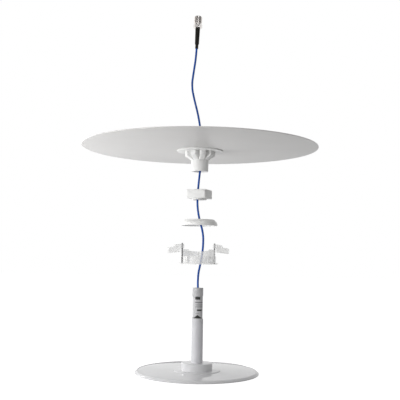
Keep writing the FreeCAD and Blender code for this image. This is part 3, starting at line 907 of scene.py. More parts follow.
RADOME_WHITE = MouldedPlastic(
    "radome_white", "radome_plastic", (0.65, 0.65, 0.66), (0.63, 0.63, 0.64), 0.03, 0.8, 0.0001, gloss=0.28
)
STEM_WHITE = MouldedPlastic(
    "stem_white", "stem_plastic", (0.66, 0.66, 0.68), (0.63, 0.63, 0.65), 0.42, 0.6, 0.003
)
TUBE_WHITE = MouldedPlastic(
    "tube_white", "stem_plastic", (0.49, 0.49, 0.50), (0.46, 0.46, 0.47), 0.30, 0.6, 0.002
)
NUT_WHITE = MouldedPlastic(
    "nut_white", "kit_plastic", (0.80, 0.80, 0.79), (0.77, 0.77, 0.76), 0.42, 0.6, 0.003
)
KIT_WHITE = MouldedPlastic(
    "kit_white", "kit_plastic", (0.90, 0.90, 0.89), (0.87, 0.87, 0.86), 0.42, 0.6, 0.003
)
CLAMP_NATURAL = MouldedPlastic(
    "clamp_natural", "clamp_plastic", (0.97, 0.97, 0.96), (0.95, 0.95, 0.94), 0.30, 0.9, 0.0005, cover=0.42
)
BUSH_PALE = MouldedPlastic("bush_pale", "bush_rubber", (0.55, 0.55, 0.56), (0.50, 0.50, 0.51), 0.55)
BEAD_WHITE = MouldedPlastic("bead_white", "bead_plastic", (0.80, 0.80, 0.78), (0.76, 0.76, 0.74), 0.50)
BOARD_GREEN = MouldedPlastic("board_green", "circuit_board", (0.03, 0.16, 0.06), (0.02, 0.13, 0.05), 0.40)
REFLECTOR_GREY = CoatedSheet(
    "reflector_grey", "reflector_metal", (0.72, 0.71, 0.70), (0.70, 0.69, 0.68), 0.30, 0.12
)
JACK_NICKEL = PlainMetal("jack_nickel", "plated_metal", (0.80, 0.77, 0.75), (0.75, 0.72, 0.70), 0.22)
FEED_BRASS = PlainMetal("feed_brass", "feed_brass", (0.72, 0.50, 0.20), (0.60, 0.40, 0.15), 0.28)
SCREW_STEEL = PlainMetal("screw_steel", "screw_steel", (0.30, 0.30, 0.31), (0.22, 0.22, 0.23), 0.34)
CABLE_BLUE = CableJacket("cable_blue", "cable_jacket", (0.011, 0.082, 0.370), (0.009, 0.070, 0.320))
SLEEVE_BLACK = ShrinkSleeve("sleeve_black", "heat_shrink", (0.009, 0.009, 0.007), (0.014, 0.014, 0.012))
LABEL_PRINT = PrintedLabel(
    name="label_print",
    slot="label_paper",
    paper=(0.54, 0.54, 0.55),
    fibre=(0.51, 0.51, 0.52),
    # Dark colour of the print, which also paints the shadow band at the label's foot
    ink_and_gap_shade=(0.020, 0.022, 0.020),
    pale_ink=(0.20, 0.20, 0.21),
    bars=(
        Field(-5.0, 133.2, 9.2, 135.2),
        Field(-4.2, 128.8, 9.2, 130.2),
        Field(-4.8, 125.2, 9.2, 126.6),
        Field(-4.0, 113.0, 3.0, 113.8),
    ),
    dark_blocks_and_gap_shade=(
        Field(-4.9, 139.5, 4.9, 145.1),
        Field(-1.2, 118.0, 8.0, 121.0),
        # Not print: a band of painted shadow where the gap above the threaded sleeve shades the label's foot
        Field(-9.9, 103.9, 9.9, 105.2),
    ),
    wedge_base=104.0,
    wedge_height=6.6,
    wedge_half=8.5,
)


class Wardrobe:
    """Hands out each finish, mixed once."""

    def __init__(self) -> None:
        """Starts with no finish mixed."""
        self.mixed: dict[str, bpy.types.Material] = {}

    def dress(self, piece: bpy.types.Object, finish: Finish) -> None:
        """Gives a piece a finish.

        Args:
            piece: A new piece or a node of the model.
            finish: One of the finishes above.
        """
        if finish.name not in self.mixed:
            self.mixed[finish.name] = finish.build()
        piece.data.materials.clear()
        piece.data.materials.append(self.mixed[finish.name])
        log.info("%s wears %s", piece.name, finish.name)


wardrobe = Wardrobe()


def hand_over(piece: bpy.types.Object, finish: Finish, body: str, *nodes: str) -> bpy.types.Object:
    """Finishes a piece and lets it ride on its body in place of solids.

    Args:
        piece: The modelled piece.
        finish: Its finish.
        body: The body it moves with.
        nodes: The solids it stands for.

    Returns:
        The piece.
    """
    wardrobe.dress(piece, finish)
    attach(piece, body)
    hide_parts(*nodes)
    log.info("%s rides on %s for %s", piece.name, body, ", ".join(nodes))
    return piece


# The antenna


@dataclass
class Radome:
    """The flat dish of the antenna and the cover sunk in its back."""

    outer: float = 119.0
    height: float = 5.0
    edge: float = 2.0
    bevel: float = 4.5
    land: float = 0.7
    inside: float = 1.5
    ledge: float = 2.0
    foot_ease: float = 0.8
    rim_ease: float = 0.7
    land_ease: float = 0.5
    recess_ease: float = 0.2
    cover_top: float = 4.6
    cover_bottom: float = 3.0
    cover_gap: float = 0.15
    cover_ease: float = 0.25
    feed_hole: float = 3.0
    sides: int = 256

    @property
    def cover_r(self) -> float:
        """Radius of the recess that the cover lies in."""
        return self.outer - self.bevel - self.land

    def build(self) -> None:
        """Makes the dish and its cover."""
        ledge_r = self.cover_r - self.ledge
        dish = turned("dish", [
            Turn(self.outer - self.bevel, 0.0),
            Turn(self.outer, 0.0, self.foot_ease),
            Turn(self.outer, self.edge, self.rim_ease),
            Turn(self.outer - self.bevel, self.height, self.land_ease),
            Turn(self.cover_r, self.height, self.recess_ease),
            Turn(self.cover_r, self.cover_bottom),
            Turn(ledge_r, self.cover_bottom),
            Turn(ledge_r, self.inside),
        ], Ends.SOLID, self.sides)
        hand_over(shade(dish), RADOME_WHITE, "antenna", "radome_face")
        rim = self.cover_r - self.cover_gap
        cover = turned("dish_cover", [
            Turn(self.feed_hole, self.cover_bottom),
            Turn(rim, self.cover_bottom),
            Turn(rim, self.cover_top, self.cover_ease),
            Turn(self.feed_hole, self.cover_top),
        ], Ends.HOLLOW, self.sides)
        hand_over(shade(cover), RADOME_WHITE, "antenna", "radome_back")
        wardrobe.dress(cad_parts["radiator_plate"], BOARD_GREEN)


@dataclass
class Stem:
    """The collar, the threaded sleeve, the labelled tube and its cap."""

    cover_top: float = 4.6
    foot_top: float = 5.6
    foot_r: float = 45.0
    foot_ease: float = 0.45
    fillet: float = 0.5
    collar_r: float = 30.0
    collar_top: float = 19.4
    collar_wall: float = 2.5
    collar_ease: float = 1.2
    collar_sides: int = 128
    sleeve_r: float = 9.8
    crest: float = 11.4
    root: float = 10.85
    pitch: float = 2.5
    thread_top: float = 103.0
    chamfer: float = 0.8
    cutter_room: float = 0.5
    pin_hole: float = 1.5
    pin_drop: float = 8.0
    pin_turn: float = -35.0
    pin_room: float = 2.0
    pin_sides: int = 32
    label_r: float = 9.72
    label_thick: float = 0.12
    label_low: float = 104.0
    label_high: float = 145.0
    lap_share: float = 0.9
    tube_top: float = 146.0
    skirt_r: float = 7.0
    skirt_drop: float = 8.0
    cap_r: float = 10.65
    cap_top: float = 162.0
    cap_low_ease: float = 0.4
    cap_ease: float = 1.0
    mouth_ease: float = 0.3
    bush_r: float = 4.0
    bush_gap: float = 0.05
    bush_length: float = 10.0
    bush_ease: float = 0.6
    bush_lead: float = 0.4
    bush_sides: int = 48
    cable_r: float = 2.05
    cable_gap: float = 0.05

    def build(self) -> None:
        """Makes the pieces of the stem from the collar up."""
        self.build_collar()
        self.build_thread()
        self.build_label()
        self.build_cap()
        for node, finish in (
            ("stem_tube", TUBE_WHITE),
            ("feed_coax", CABLE_BLUE),
            ("feed_pin", FEED_BRASS),
            ("feed_ferrule", FEED_BRASS),
        ):
            wardrobe.dress(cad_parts[node], finish)

    def build_collar(self) -> None:
        """Makes the collar with its thin wide foot."""
        inner = self.collar_r - self.collar_wall
        boss = self.sleeve_r + self.collar_wall
        roof = self.collar_top - self.collar_wall
        collar = turned("collar", [
            Turn(inner, self.cover_top),
            Turn(self.foot_r, self.cover_top),
            Turn(self.foot_r, self.foot_top, self.foot_ease),
            Turn(self.collar_r, self.foot_top, self.fillet),
            Turn(self.collar_r, self.collar_top, self.collar_ease),
            Turn(self.sleeve_r, self.collar_top),
            Turn(self.sleeve_r, self.cover_top),
            Turn(boss, self.cover_top),
            Turn(boss, roof),
            Turn(inner, roof),
        ], Ends.HOLLOW, self.collar_sides)
        hand_over(shade(collar), RADOME_WHITE, "antenna", "stem_collar")

    def build_thread(self) -> None:
        """Makes the threaded sleeve with the cross hole near its top."""
        top = self.thread_top
        sleeve = threaded("threaded_sleeve", self.crest, self.root, self.pitch, self.collar_top, top)
        room = self.cutter_room
        chop = turned("chop", [
            Turn(self.crest - self.chamfer - room, top + room),
            Turn(self.crest + room, top + room),
            Turn(self.crest + room, top - self.chamfer - room),
        ], Ends.HOLLOW)
        combine(sleeve, chop, Cut.AWAY)
        angle = math.radians(self.pin_turn)
        out = Vector((math.cos(angle), math.sin(angle), 0.0))
        bpy.ops.mesh.primitive_cylinder_add(
            vertices=self.pin_sides,
            radius=self.pin_hole * MM,
            depth=(2 * (self.crest - self.sleeve_r) + self.pin_room) * MM,
            location=out * self.crest * MM + Vector((0.0, 0.0, (top - self.pin_drop) * MM)),
            rotation=(math.pi / 2, 0.0, angle + math.pi / 2),
        )
        combine(sleeve, bpy.context.object, Cut.AWAY)
        hand_over(shade(sleeve), STEM_WHITE, "antenna", "threaded_stem")

    def build_label(self) -> None:
        """Makes the label, with its edge lapped over at the back."""
        outer = self.label_r + self.label_thick
        label = turned("label", [
            Turn(self.label_r, self.label_low),
            Turn(outer, self.label_low),
            Turn(outer, self.label_high),
            Turn(self.label_r, self.label_high),
        ], Ends.HOLLOW)
        with editing(label):
            choose(label, Part.FACES, lambda face: self.is_lap(face.calc_center_median(), outer))
            lap = {"value": self.label_thick * MM}
            bpy.ops.mesh.extrude_region_shrink_fatten(TRANSFORM_OT_shrink_fatten=lap)
        hand_over(shade(label), LABEL_PRINT, "antenna", "label_wrap")

    def is_lap(self, centre: Vector, outer: float) -> bool:
        """Whether a face of the label lies under its lap at the back."""
        reach = math.hypot(centre.x, centre.y)
        return reach > (outer - self.label_thick / 3) * MM and centre.y > self.lap_share * reach

    def build_cap(self) -> None:
        """Makes the cap and the bush that holds the cable in it."""
        bore = self.cable_r + self.cable_gap
        seat_low = self.cap_top - self.bush_length
        skirt_low = self.tube_top - self.skirt_drop
        cap = turned("cap", [
            Turn(bore, skirt_low),
            Turn(self.skirt_r, skirt_low),
            Turn(self.skirt_r, self.tube_top),
            Turn(self.cap_r, self.tube_top, self.cap_low_ease),
            Turn(self.cap_r, self.cap_top, self.cap_ease),
            Turn(self.bush_r, self.cap_top, self.mouth_ease),
            Turn(self.bush_r, seat_low),
            Turn(bore, seat_low),
        ], Ends.HOLLOW)
        hand_over(shade(cap), TUBE_WHITE, "antenna", "stem_cap")
        bush_r = self.bush_r - self.bush_gap
        bush = turned("cable_bush", [
            Turn(bore, seat_low),
            Turn(bush_r, seat_low),
            Turn(bush_r, self.cap_top, self.bush_ease),
            Turn(bore, self.cap_top, self.bush_lead),
        ], Ends.HOLLOW, self.bush_sides)
        hand_over(shade(bush), BUSH_PALE, "antenna", "cable_grommet")


@dataclass
class Lead:
    """The blue cable with its black sleeves and its jack.

    Heights on the sleeves and the jack are counted along the cable from the foot of the tail sleeve. The
    cable's route is in metres from the top of the cap.
    """

    cap_top: float = 162.0
    radius: float = 2.05
    cable_gap: float = 0.05
    tail_r: float = 3.1
    tail_length: float = 8.4
    tail_ease: float = 0.5
    grip: float = 17.0
    boot_low_r: float = 4.2
    boot_high_r: float = 4.65
    boot_top: float = 41.6
    boot_lip: float = 0.5
    boot_lip_ease: float = 0.6
    boot_lip_rise: float = 1.6
    boot_heel_ease: float = 0.8
    boot_waist: float = 2.0
    boot_waist_in: float = 0.12
    boot_shoulder: float = 4.0
    boot_ease: float = 2.0
    boot_end_ease: float = 0.4
    crimp_start: float = 11.8
    crimp_r: float = 3.6
    hex_flats: float = 15.2
    hex_top: float = 49.0
    hex_chamfer: float = 1.2
    hex_ease: float = 0.3
    neck_r: float = 6.9
    neck_top: float = 51.0
    neck_slope: float = 0.5
    neck_lap: float = 1.0
    thread_r: float = 7.94
    root_r: float = 7.35
    root_sunk: float = 0.1
    root_lap: float = 0.5
    pitch: float = 1.058
    thread_steps: int = 48
    thread_top: float = 63.2
    lip_r: float = 7.2
    lip_top: float = 65.2
    lip_low_ease: float = 0.2
    lip_ease: float = 0.5
    bore_r: float = 4.3
    bore_ease: float = 0.4
    bore_floor: float = 45.6
    cutter_room: float = 2.0
    cutter_over: float = 0.01
    cutter_length: float = 200.0
    sleeve_sides: int = 48
    sides: int = 64
    route: tuple[Triple, ...] = (
        (0.0, 0.0, 0.0),
        (-0.0010, 0.0004, 0.022),
        (0.0048, 0.0009, 0.049),
        (0.0089, 0.0002, 0.077),
        (0.0090, -0.0006, 0.105),
        (0.0004, 0.0003, 0.133),
        (-0.0041, 0.0014, 0.161),
        (-0.0028, 0.0008, 0.193),
        (0.0010, -0.0009, 0.231),
        (0.0025, -0.0016, 0.271),
        (0.0002, -0.0004, 0.311),
        (-0.0052, 0.0020, 0.341),
        (-0.0127, 0.0036, 0.369),
        (-0.0188, 0.0024, 0.397),
        (-0.0149, 0.0005, 0.426),
        (-0.0104, -0.0006, 0.458),
        (-0.0093, -0.0010, 0.489),
    )
    length: float = 0.494

    def points(self) -> list[Vector]:
        """The cable's route in the frame of the model, in metres."""
        return [Vector((x, y, self.cap_top * MM + rise)) for x, y, rise in self.route]

    def on_end(self, piece: bpy.types.Object) -> None:
        """Sets a piece along the end of the cable.

        Args:
            piece: The piece, made on Z from the foot of the tail sleeve.
        """
        points = self.points()
        along = (points[-1] - points[-2]).normalized()
        start = points[-1] - along * self.grip * MM
        turn = Vector((0.0, 0.0, 1.0)).rotation_difference(along)
        piece.matrix_world = Matrix.Translation(start) @ turn.to_matrix().to_4x4()
        settle(piece)

    def build(self) -> None:
        """Makes the cable, its sleeves and its jack."""
        sleeves = self.build_sleeves()
        jack = self.build_jack()
        names = ("crimp_ferrule", "connector_insulator", "connector_contact")
        inner = [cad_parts[name] for name in names]
        for node, finish in zip(inner, (JACK_NICKEL, BEAD_WHITE, FEED_BRASS)):
            wardrobe.dress(node, finish)
        cable = self.build_cable()

    def build_cable(self) -> bpy.types.Object:
        """Draws the cable as one smooth spline.

        Returns:
            The cable.
        """
        curve = bpy.data.curves.new("cable", "CURVE")
        curve.dimensions = "3D"
        curve.bevel_depth = self.radius * MM
        curve.bevel_resolution = 6
        curve.use_fill_caps = True
        curve.resolution_u = 16
        spline = curve.splines.new("NURBS")
        points = self.points()
        spline.points.add(len(points) - 1)
        for point, place in zip(spline.points, points):
            point.co = (*place, 1.0)
        spline.order_u = 3
        spline.use_endpoint_u = True
        cable = bpy.data.objects.new("cable", curve)
        bpy.context.scene.collection.objects.link(cable)
        return hand_over(cable, CABLE_BLUE, "antenna", "coax_cable")

    def build_sleeves(self) -> list[bpy.types.Object]:
        """Makes the tail sleeve and the boot over the crimp.

        Returns:
            Both sleeves.
        """
        bore = self.radius + self.cable_gap
        crimp = self.crimp_r + self.cable_gap
        tail = turned("cable_tail", [
            Turn(bore, 0.0),
            Turn(self.tail_r, 0.0, self.tail_ease),
            Turn(self.tail_r, self.tail_length),
            Turn(bore, self.tail_length),
        ], Ends.HOLLOW, self.sleeve_sides)
        swell = (self.boot_high_r - self.boot_low_r) / (self.boot_top - self.tail_length)
        waist = self.crimp_start + self.boot_waist
        waist_r = self.boot_low_r + swell * (waist - self.tail_length) - self.boot_waist_in
        boot = turned("boot", [
            Turn(bore, self.tail_length),
            Turn(self.boot_low_r - self.boot_lip, self.tail_length, self.boot_lip_ease),
            Turn(self.boot_low_r, self.tail_length + self.boot_lip_rise, self.boot_heel_ease),
            Turn(waist_r, waist, self.boot_ease),
            Turn(self.boot_high_r, self.boot_top - self.boot_shoulder, self.boot_ease),
            Turn(self.boot_high_r, self.boot_top, self.boot_end_ease),
            Turn(crimp, self.boot_top),
            Turn(crimp, self.crimp_start),
            Turn(bore, self.crimp_start),
        ], Ends.HOLLOW, self.sides)
        made = []
        for piece, node in ((tail, "cable_tail_sleeve"), (boot, "cable_boot")):
            self.on_end(piece)
            made.append(hand_over(shade(piece), SLEEVE_BLACK, "antenna", node))
        return made

    def build_jack(self) -> bpy.types.Object:
        """Makes the jack: hexagon, neck, threaded barrel and lip.

        Returns:
            The jack.
        """
        bore = self.radius + self.cable_gap
        core_r = self.root_r - self.root_sunk
        body = turned("jack_body", [
            Turn(bore, self.boot_top),
            Turn(self.neck_r, self.boot_top),
            Turn(self.neck_r, self.neck_top),
            Turn(core_r, self.neck_top + self.neck_slope),
            Turn(core_r, self.thread_top),
            Turn(self.lip_r, self.thread_top, self.lip_low_ease),
            Turn(self.lip_r, self.lip_top, self.lip_ease),
            Turn(self.bore_r, self.lip_top, self.bore_ease),
            Turn(self.bore_r, self.bore_floor),
            Turn(bore, self.bore_floor),
        ], Ends.HOLLOW, self.sides)
        barrel = threaded(
            "jack_barrel",
            self.thread_r,
            self.root_r,
            self.pitch,
            self.neck_top,
            self.thread_top,
            self.thread_steps,
        )
        hexagon = self.build_hexagon()
        hollows = ((barrel, self.root_r - self.root_lap), (hexagon, self.neck_r - self.neck_lap))
        for sleeve, hollow in hollows:
            bpy.ops.mesh.primitive_cylinder_add(
                vertices=self.sides, radius=hollow * MM, depth=self.cutter_length * MM
            )
            combine(sleeve, bpy.context.object, Cut.AWAY)
        jack = fused("jack", [body, barrel, hexagon])
        self.on_end(jack)
        return hand_over(shade(jack), JACK_NICKEL, "antenna", "connector_body")

    def build_hexagon(self) -> bpy.types.Object:
        """Makes the spanner hexagon, its corners turned off at both ends.

        Returns:
            The hexagon.
        """
        corner = self.hex_flats / math.sqrt(3)
        flat = self.hex_flats / 2
        low = self.boot_top
        bpy.ops.mesh.primitive_cylinder_add(
            vertices=6,
            radius=corner * MM,
            depth=(self.hex_top - low) * MM,
            location=(0.0, 0.0, (low + self.hex_top) / 2 * MM),
            rotation=(0.0, 0.0, math.pi / 6),
        )
        hexagon = christen(bpy.context.object, "hexagon")
        settle(hexagon)
        soften(hexagon, self.hex_ease)
        rim = corner + self.cutter_room
        chop = turned("chop", [
            Turn(flat, low - self.cutter_over),
            Turn(rim, low - self.cutter_over),
            Turn(rim, self.hex_top + self.cutter_over),
            Turn(flat, self.hex_top + self.cutter_over),
            Turn(corner, self.hex_top - self.hex_chamfer / 2),
            Turn(corner, low + self.hex_chamfer / 2),
        ], Ends.HOLLOW, self.sides)
        return combine(hexagon, chop, Cut.AWAY)


# The mounting kit


def cross(name: str, span: float, width: float, low: float, high: float) -> bpy.types.Object:
    """Makes the cutter of a cross recess about Z.

    Args:
        name: Name of the cutter.
        span: Length of each arm of the cross.
        width: Width of each arm.
        low: Lower end.
        high: Upper end.

    Returns:
        The cutter.
    """
    middle = (low + high) / 2
    arms = []
    for length, depth in ((span, width), (width, span)):
        bpy.ops.mesh.primitive_cube_add(size=1.0, location=(0.0, 0.0, middle * MM))
        arm = christen(bpy.context.object, f"{name}_arm")
        arm.scale = (length * MM, depth * MM, (high - low) * MM)
        settle(arm)
        arms.append(arm)
    return combine(arms[0], arms[1], Cut.ADD)


@dataclass
class ClampRing:
    """The flanged ring with its stepped wall, its two screws and their toggles.

    Angles are in degrees from a screw, the way its toggle swings. The cross-sections of the wing run from
    its tip to the screw's axis, with their place along X counted from that axis.
    """

    lift: float = 207.4
    turn: float = 18.0
    inner_r: float = 30.4
    inner_ease: float = 0.3
    flange_r: float = 38.5
    flange: float = 2.5
    flange_ease: float = 0.6
    flange_sides: int = 180
    wall_in: float = 32.2
    wall_out: float = 34.6
    wall_foot: float = 1.0
    wall_ease: float = 0.3
    wall_sides: int = 360
    low: float = 15.5
    mid: float = 24.0
    ramp: float = 2.0
    ramp_spare: float = 0.05
    tower: float = 28.5
    mid_from: float = 69.0
    tower_from: float = 107.0
    tower_to: float = 142.0
    relief_from: float = 34.0
    relief_to: float = 42.0
    slot_half: float = 3.5
    slot_open: float = 11.5
    screw_circle: float = 33.0
    screw_r: float = 1.5
    screw_root: float = 1.22
    screw_pitch: float = 0.5
    screw_steps: int = 20
    screw_top: float = 40.6
    screw_tip: float = 0.6
    screw_tip_in: float = 0.5
    screw_sides: int = 32
    shank_rise: float = 1.0
    shank_slope: float = 0.3
    shank_ease: float = 0.2
    root_sunk: float = 0.05
    thread_end: float = 0.5
    head_r: float = 2.4
    head: float = 0.9
    head_flat: float = 0.4
    head_ease: float = 0.08
    seat_gap: float = 0.05
    seat_over: float = 0.02
    recess: float = 0.6
    recess_width: float = 0.8
    recess_span: float = 2.8
    recess_over: float = 1.0
    wing: tuple[Section, ...] = (
        Section(29.0, 22.1, 30.0, 4.1),
        Section(27.5, 20.6, 31.5, 4.2),
        Section(17.0, 21.7, 33.0, 4.5),
        Section(14.0, 22.0, 37.5, 4.5),
        Section(4.2, 23.0, 38.5, 4.5),
        Section(3.8, 30.4, 38.6, 4.4),
        Section(0.0, 30.4, 39.0, 3.8),
    )
    paddle_from: float = 4.2
    paddle_to: float = 27.5
    panel_edge: float = 1.3
    panel_sunk: float = 0.6
    wing_ease: float = 0.45
    wing_angle: float = 25.0
    boss_ease: float = 0.4
    boss_flat_low: float = 0.8
    boss_flat_high: float = 1.6
    boss_sides: int = 48

    def build(self) -> None:
        """Makes the ring, then a screw and a toggle at each side."""
        ring = self.build_ring()
        seat(ring, self.lift, self.turn)
        hand_over(shade(ring), CLAMP_NATURAL, "clamp_ring", "clamp_ring")
        for side, half_turn in (("right", 0.0), ("left", 180.0)):
            screw = self.build_screw(f"screw_{side}")
            toggle = self.build_toggle(f"wing_{side}")
            for piece, finish, node in (
                (screw, SCREW_STEEL, f"clamp_screw_{side}"),
                (toggle, CLAMP_NATURAL, f"toggle_{side}"),
            ):
                seat(piece, self.lift, self.turn + half_turn)
                hand_over(shade(piece), finish, f"toggle_{side}", node)

    def sector(self, place: Vector) -> float:
        """Angle in degrees from the nearer screw, counted the way the toggles swing."""
        return math.degrees(math.atan2(place.y, place.x)) % 180.0

    def is_wall(self, face: bmesh.types.BMFace) -> bool:
        """Whether a face carries wall, and not a screw slot or a relief.

        Args:
            face: A face of the ring's top.

        Returns:
            True for wall.
        """
        angle = self.sector(face.calc_center_median())
        in_slot = angle < self.slot_open or angle > 180.0 - self.slot_half
        in_relief = self.relief_from < angle < self.relief_to
        return not in_slot and not in_relief

    def build_ring(self) -> bpy.types.Object:
        """Makes the flange, with a seat for each screw's head, and adds the wall.

        Returns:
            The ring, lying on its own origin.
        """
        wall = self.build_wall()
        flange = turned("flange", [
            Turn(self.inner_r, 0.0, self.inner_ease),
            Turn(self.flange_r, 0.0, self.flange_ease),
            Turn(self.flange_r, self.flange, self.flange_ease),
            Turn(self.inner_r, self.flange, self.inner_ease),
        ], Ends.HOLLOW, self.flange_sides)
        for side in (1.0, -1.0):
            bpy.ops.mesh.primitive_cone_add(
                vertices=self.screw_sides,
                radius1=(self.head_r + self.seat_gap) * MM,
                radius2=(self.screw_r + self.seat_gap) * MM,
                depth=(self.head + self.seat_over) * MM,
                location=(side * self.screw_circle * MM, 0.0, (self.head - self.seat_over) / 2 * MM),
            )
            combine(flange, bpy.context.object, Cut.AWAY)
        return christen(combine(flange, wall, Cut.ADD), "ring")

    def build_wall(self) -> bpy.types.Object:
        """Makes the wall, raised step by step from a low hoop.

        Returns:
            The wall, standing in the flange.
        """
        wall = turned("wall", [
            Turn(self.wall_in, self.wall_foot),
            Turn(self.wall_out, self.wall_foot),
            Turn(self.wall_out, self.flange),
            Turn(self.wall_in, self.flange),
        ], Ends.HOLLOW, self.wall_sides)
        with editing(wall):
            choose(wall, Part.FACES, lambda face: level(face, self.flange) and self.is_wall(face))
            self.raise_wall(self.low - self.flange)
            choose(wall, Part.FACES, lambda face: level(face, self.low) and self.in_high_part(face))
            self.raise_wall(self.mid - self.low)
            choose(wall, Part.FACES, lambda face: level(face, self.mid) and self.in_tower(face))
            self.raise_wall(self.tower - self.mid)
            self.slope_ramp(wall)
            mend()
        soften(wall, self.wall_ease)
        return wall

    def raise_wall(self, rise: float) -> None:
        """Draws the chosen top faces of the wall up by millimetres."""
        bpy.ops.mesh.extrude_region_move(TRANSFORM_OT_translate={"value": (0.0, 0.0, rise * MM)})

    def in_high_part(self, face: bmesh.types.BMFace) -> bool:
        """Whether a face lies in the part of the wall above the toggles' sweep."""
        return self.mid_from < self.sector(face.calc_center_median()) < self.tower_to

    def in_tower(self, face: bmesh.types.BMFace) -> bool:
        """Whether a face lies in the highest part of the wall."""
        return self.tower_from < self.sector(face.calc_center_median()) < self.tower_to

    def slope_ramp(self, wall: bpy.types.Object) -> None:
        """Slopes the middle step of the wall up towards the tower.

        Args:
            wall: The wall, in edit mode.
        """
        mesh = bmesh.from_edit_mesh(wall.data)
        span = self.tower_from - self.mid_from
        for vert in mesh.verts:
            share = (self.sector(vert.co) - self.mid_from) / span
            on_ramp = -self.ramp_spare < share < 1.0 + self.ramp_spare
            if on_ramp and abs(vert.co.z - self.mid * MM) < LEVEL:
                vert.co.z += min(max(share, 0.0), 1.0) * self.ramp * MM
        bmesh.update_edit_mesh(wall.data)

    def build_screw(self, name: str) -> bpy.types.Object:
        """Makes a long screw, head down, at its place on the ring.

        Args:
            name: Name of the screw.

        Returns:
            The screw, with the ring on its own origin.
        """
        core_r = self.screw_root - self.root_sunk
        shank_top = self.flange + self.shank_rise
        shank = turned("shank", [
            Turn(self.head_r - self.head_flat, 0.0),
            Turn(self.head_r, 0.0, self.head_ease),
            Turn(self.screw_r, self.head, self.shank_ease),
            Turn(self.screw_r, shank_top, self.shank_ease),
            Turn(core_r, shank_top + self.shank_slope),
            Turn(core_r, self.screw_top - self.screw_tip),
            Turn(self.screw_root - self.screw_tip_in, self.screw_top),
        ], Ends.SOLID, self.screw_sides)
        recess = cross("cross_recess", self.recess_span, self.recess_width, -self.recess_over, self.recess)
        combine(shank, recess, Cut.AWAY)
        thread = threaded(
            "screw_thread",
            self.screw_r,
            self.screw_root,
            self.screw_pitch,
            shank_top,
            self.screw_top - self.thread_end,
            self.screw_steps,
        )
        screw = fused(name, [shank, thread])
        screw.location = (self.screw_circle * MM, 0.0, 0.0)
        settle(screw)
        return screw

    def build_toggle(self, name: str) -> bpy.types.Object:
        """Makes a dog-leg wing: a boss on the screw, an arm and a paddle with sunk sides.

        Args:
            name: Name of the wing.

        Returns:
            The wing, with the ring on its own origin.
        """
        axis = self.screw_circle
        wing = drawn_out("wing", [section._replace(x=axis + section.x) for section in self.wing])
        with editing(wing):
            choose(wing, Part.FACES, self.is_paddle_side)
            bpy.ops.mesh.inset(
                thickness=self.panel_edge * MM, depth=-self.panel_sunk * MM, use_even_offset=True
            )
        soften(wing, self.wing_ease, angle=self.wing_angle)
        end = self.wing[-1]
        boss = turned("boss", [
            Turn(end.half - self.boss_flat_low, end.low),
            Turn(end.half, end.low, self.boss_ease),
            Turn(end.half, end.high, self.boss_ease),
            Turn(end.half - self.boss_flat_high, end.high),
        ], Ends.SOLID, self.boss_sides)
        boss.location = (axis * MM, 0.0, 0.0)
        settle(boss)
        return christen(combine(wing, boss, Cut.ADD), name)

    def is_paddle_side(self, face: bmesh.types.BMFace) -> bool:
        """Whether a face is a side of the paddle, outside its neck."""
        along = face.calc_center_median().x / MM - self.screw_circle
        return abs(face.normal.y) > FACING and self.paddle_from < along < self.paddle_to


@dataclass
class BezelWasher:
    """The dished washer with its tapered skirt."""

    lift: float = 282.0
    outer: float = 36.25
    taper: float = 1.0
    skirt: float = 6.0
    shoulder: float = 5.6
    height: float = 12.0
    wall: float = 2.0
    bore: float = 11.7
    ease: float = 2.0
    inner_ease: float = 1.0
    lip_ease: float = 0.5
    edge_ease: float = 0.4
    sides: int = 128

    def build(self) -> None:
        """Makes the washer."""
        skirt_r = self.outer - self.taper
        roof_r = skirt_r - self.shoulder
        roof = self.height - self.wall
        washer = turned("washer", [
            Turn(self.outer - self.wall, 0.0, self.edge_ease),
            Turn(self.outer, 0.0, self.lip_ease),
            Turn(skirt_r, self.skirt, self.ease),
            Turn(roof_r, self.height, self.ease),
            Turn(self.bore, self.height, self.edge_ease),
            Turn(self.bore, roof, self.edge_ease),
            Turn(roof_r - self.wall / 2, roof, self.inner_ease),
            Turn(skirt_r - self.wall, self.skirt - self.wall / 2, self.inner_ease),
        ], Ends.HOLLOW, self.sides)
        seat(washer, self.lift)
        hand_over(shade(washer), KIT_WHITE, "bezel", "bezel_washer")


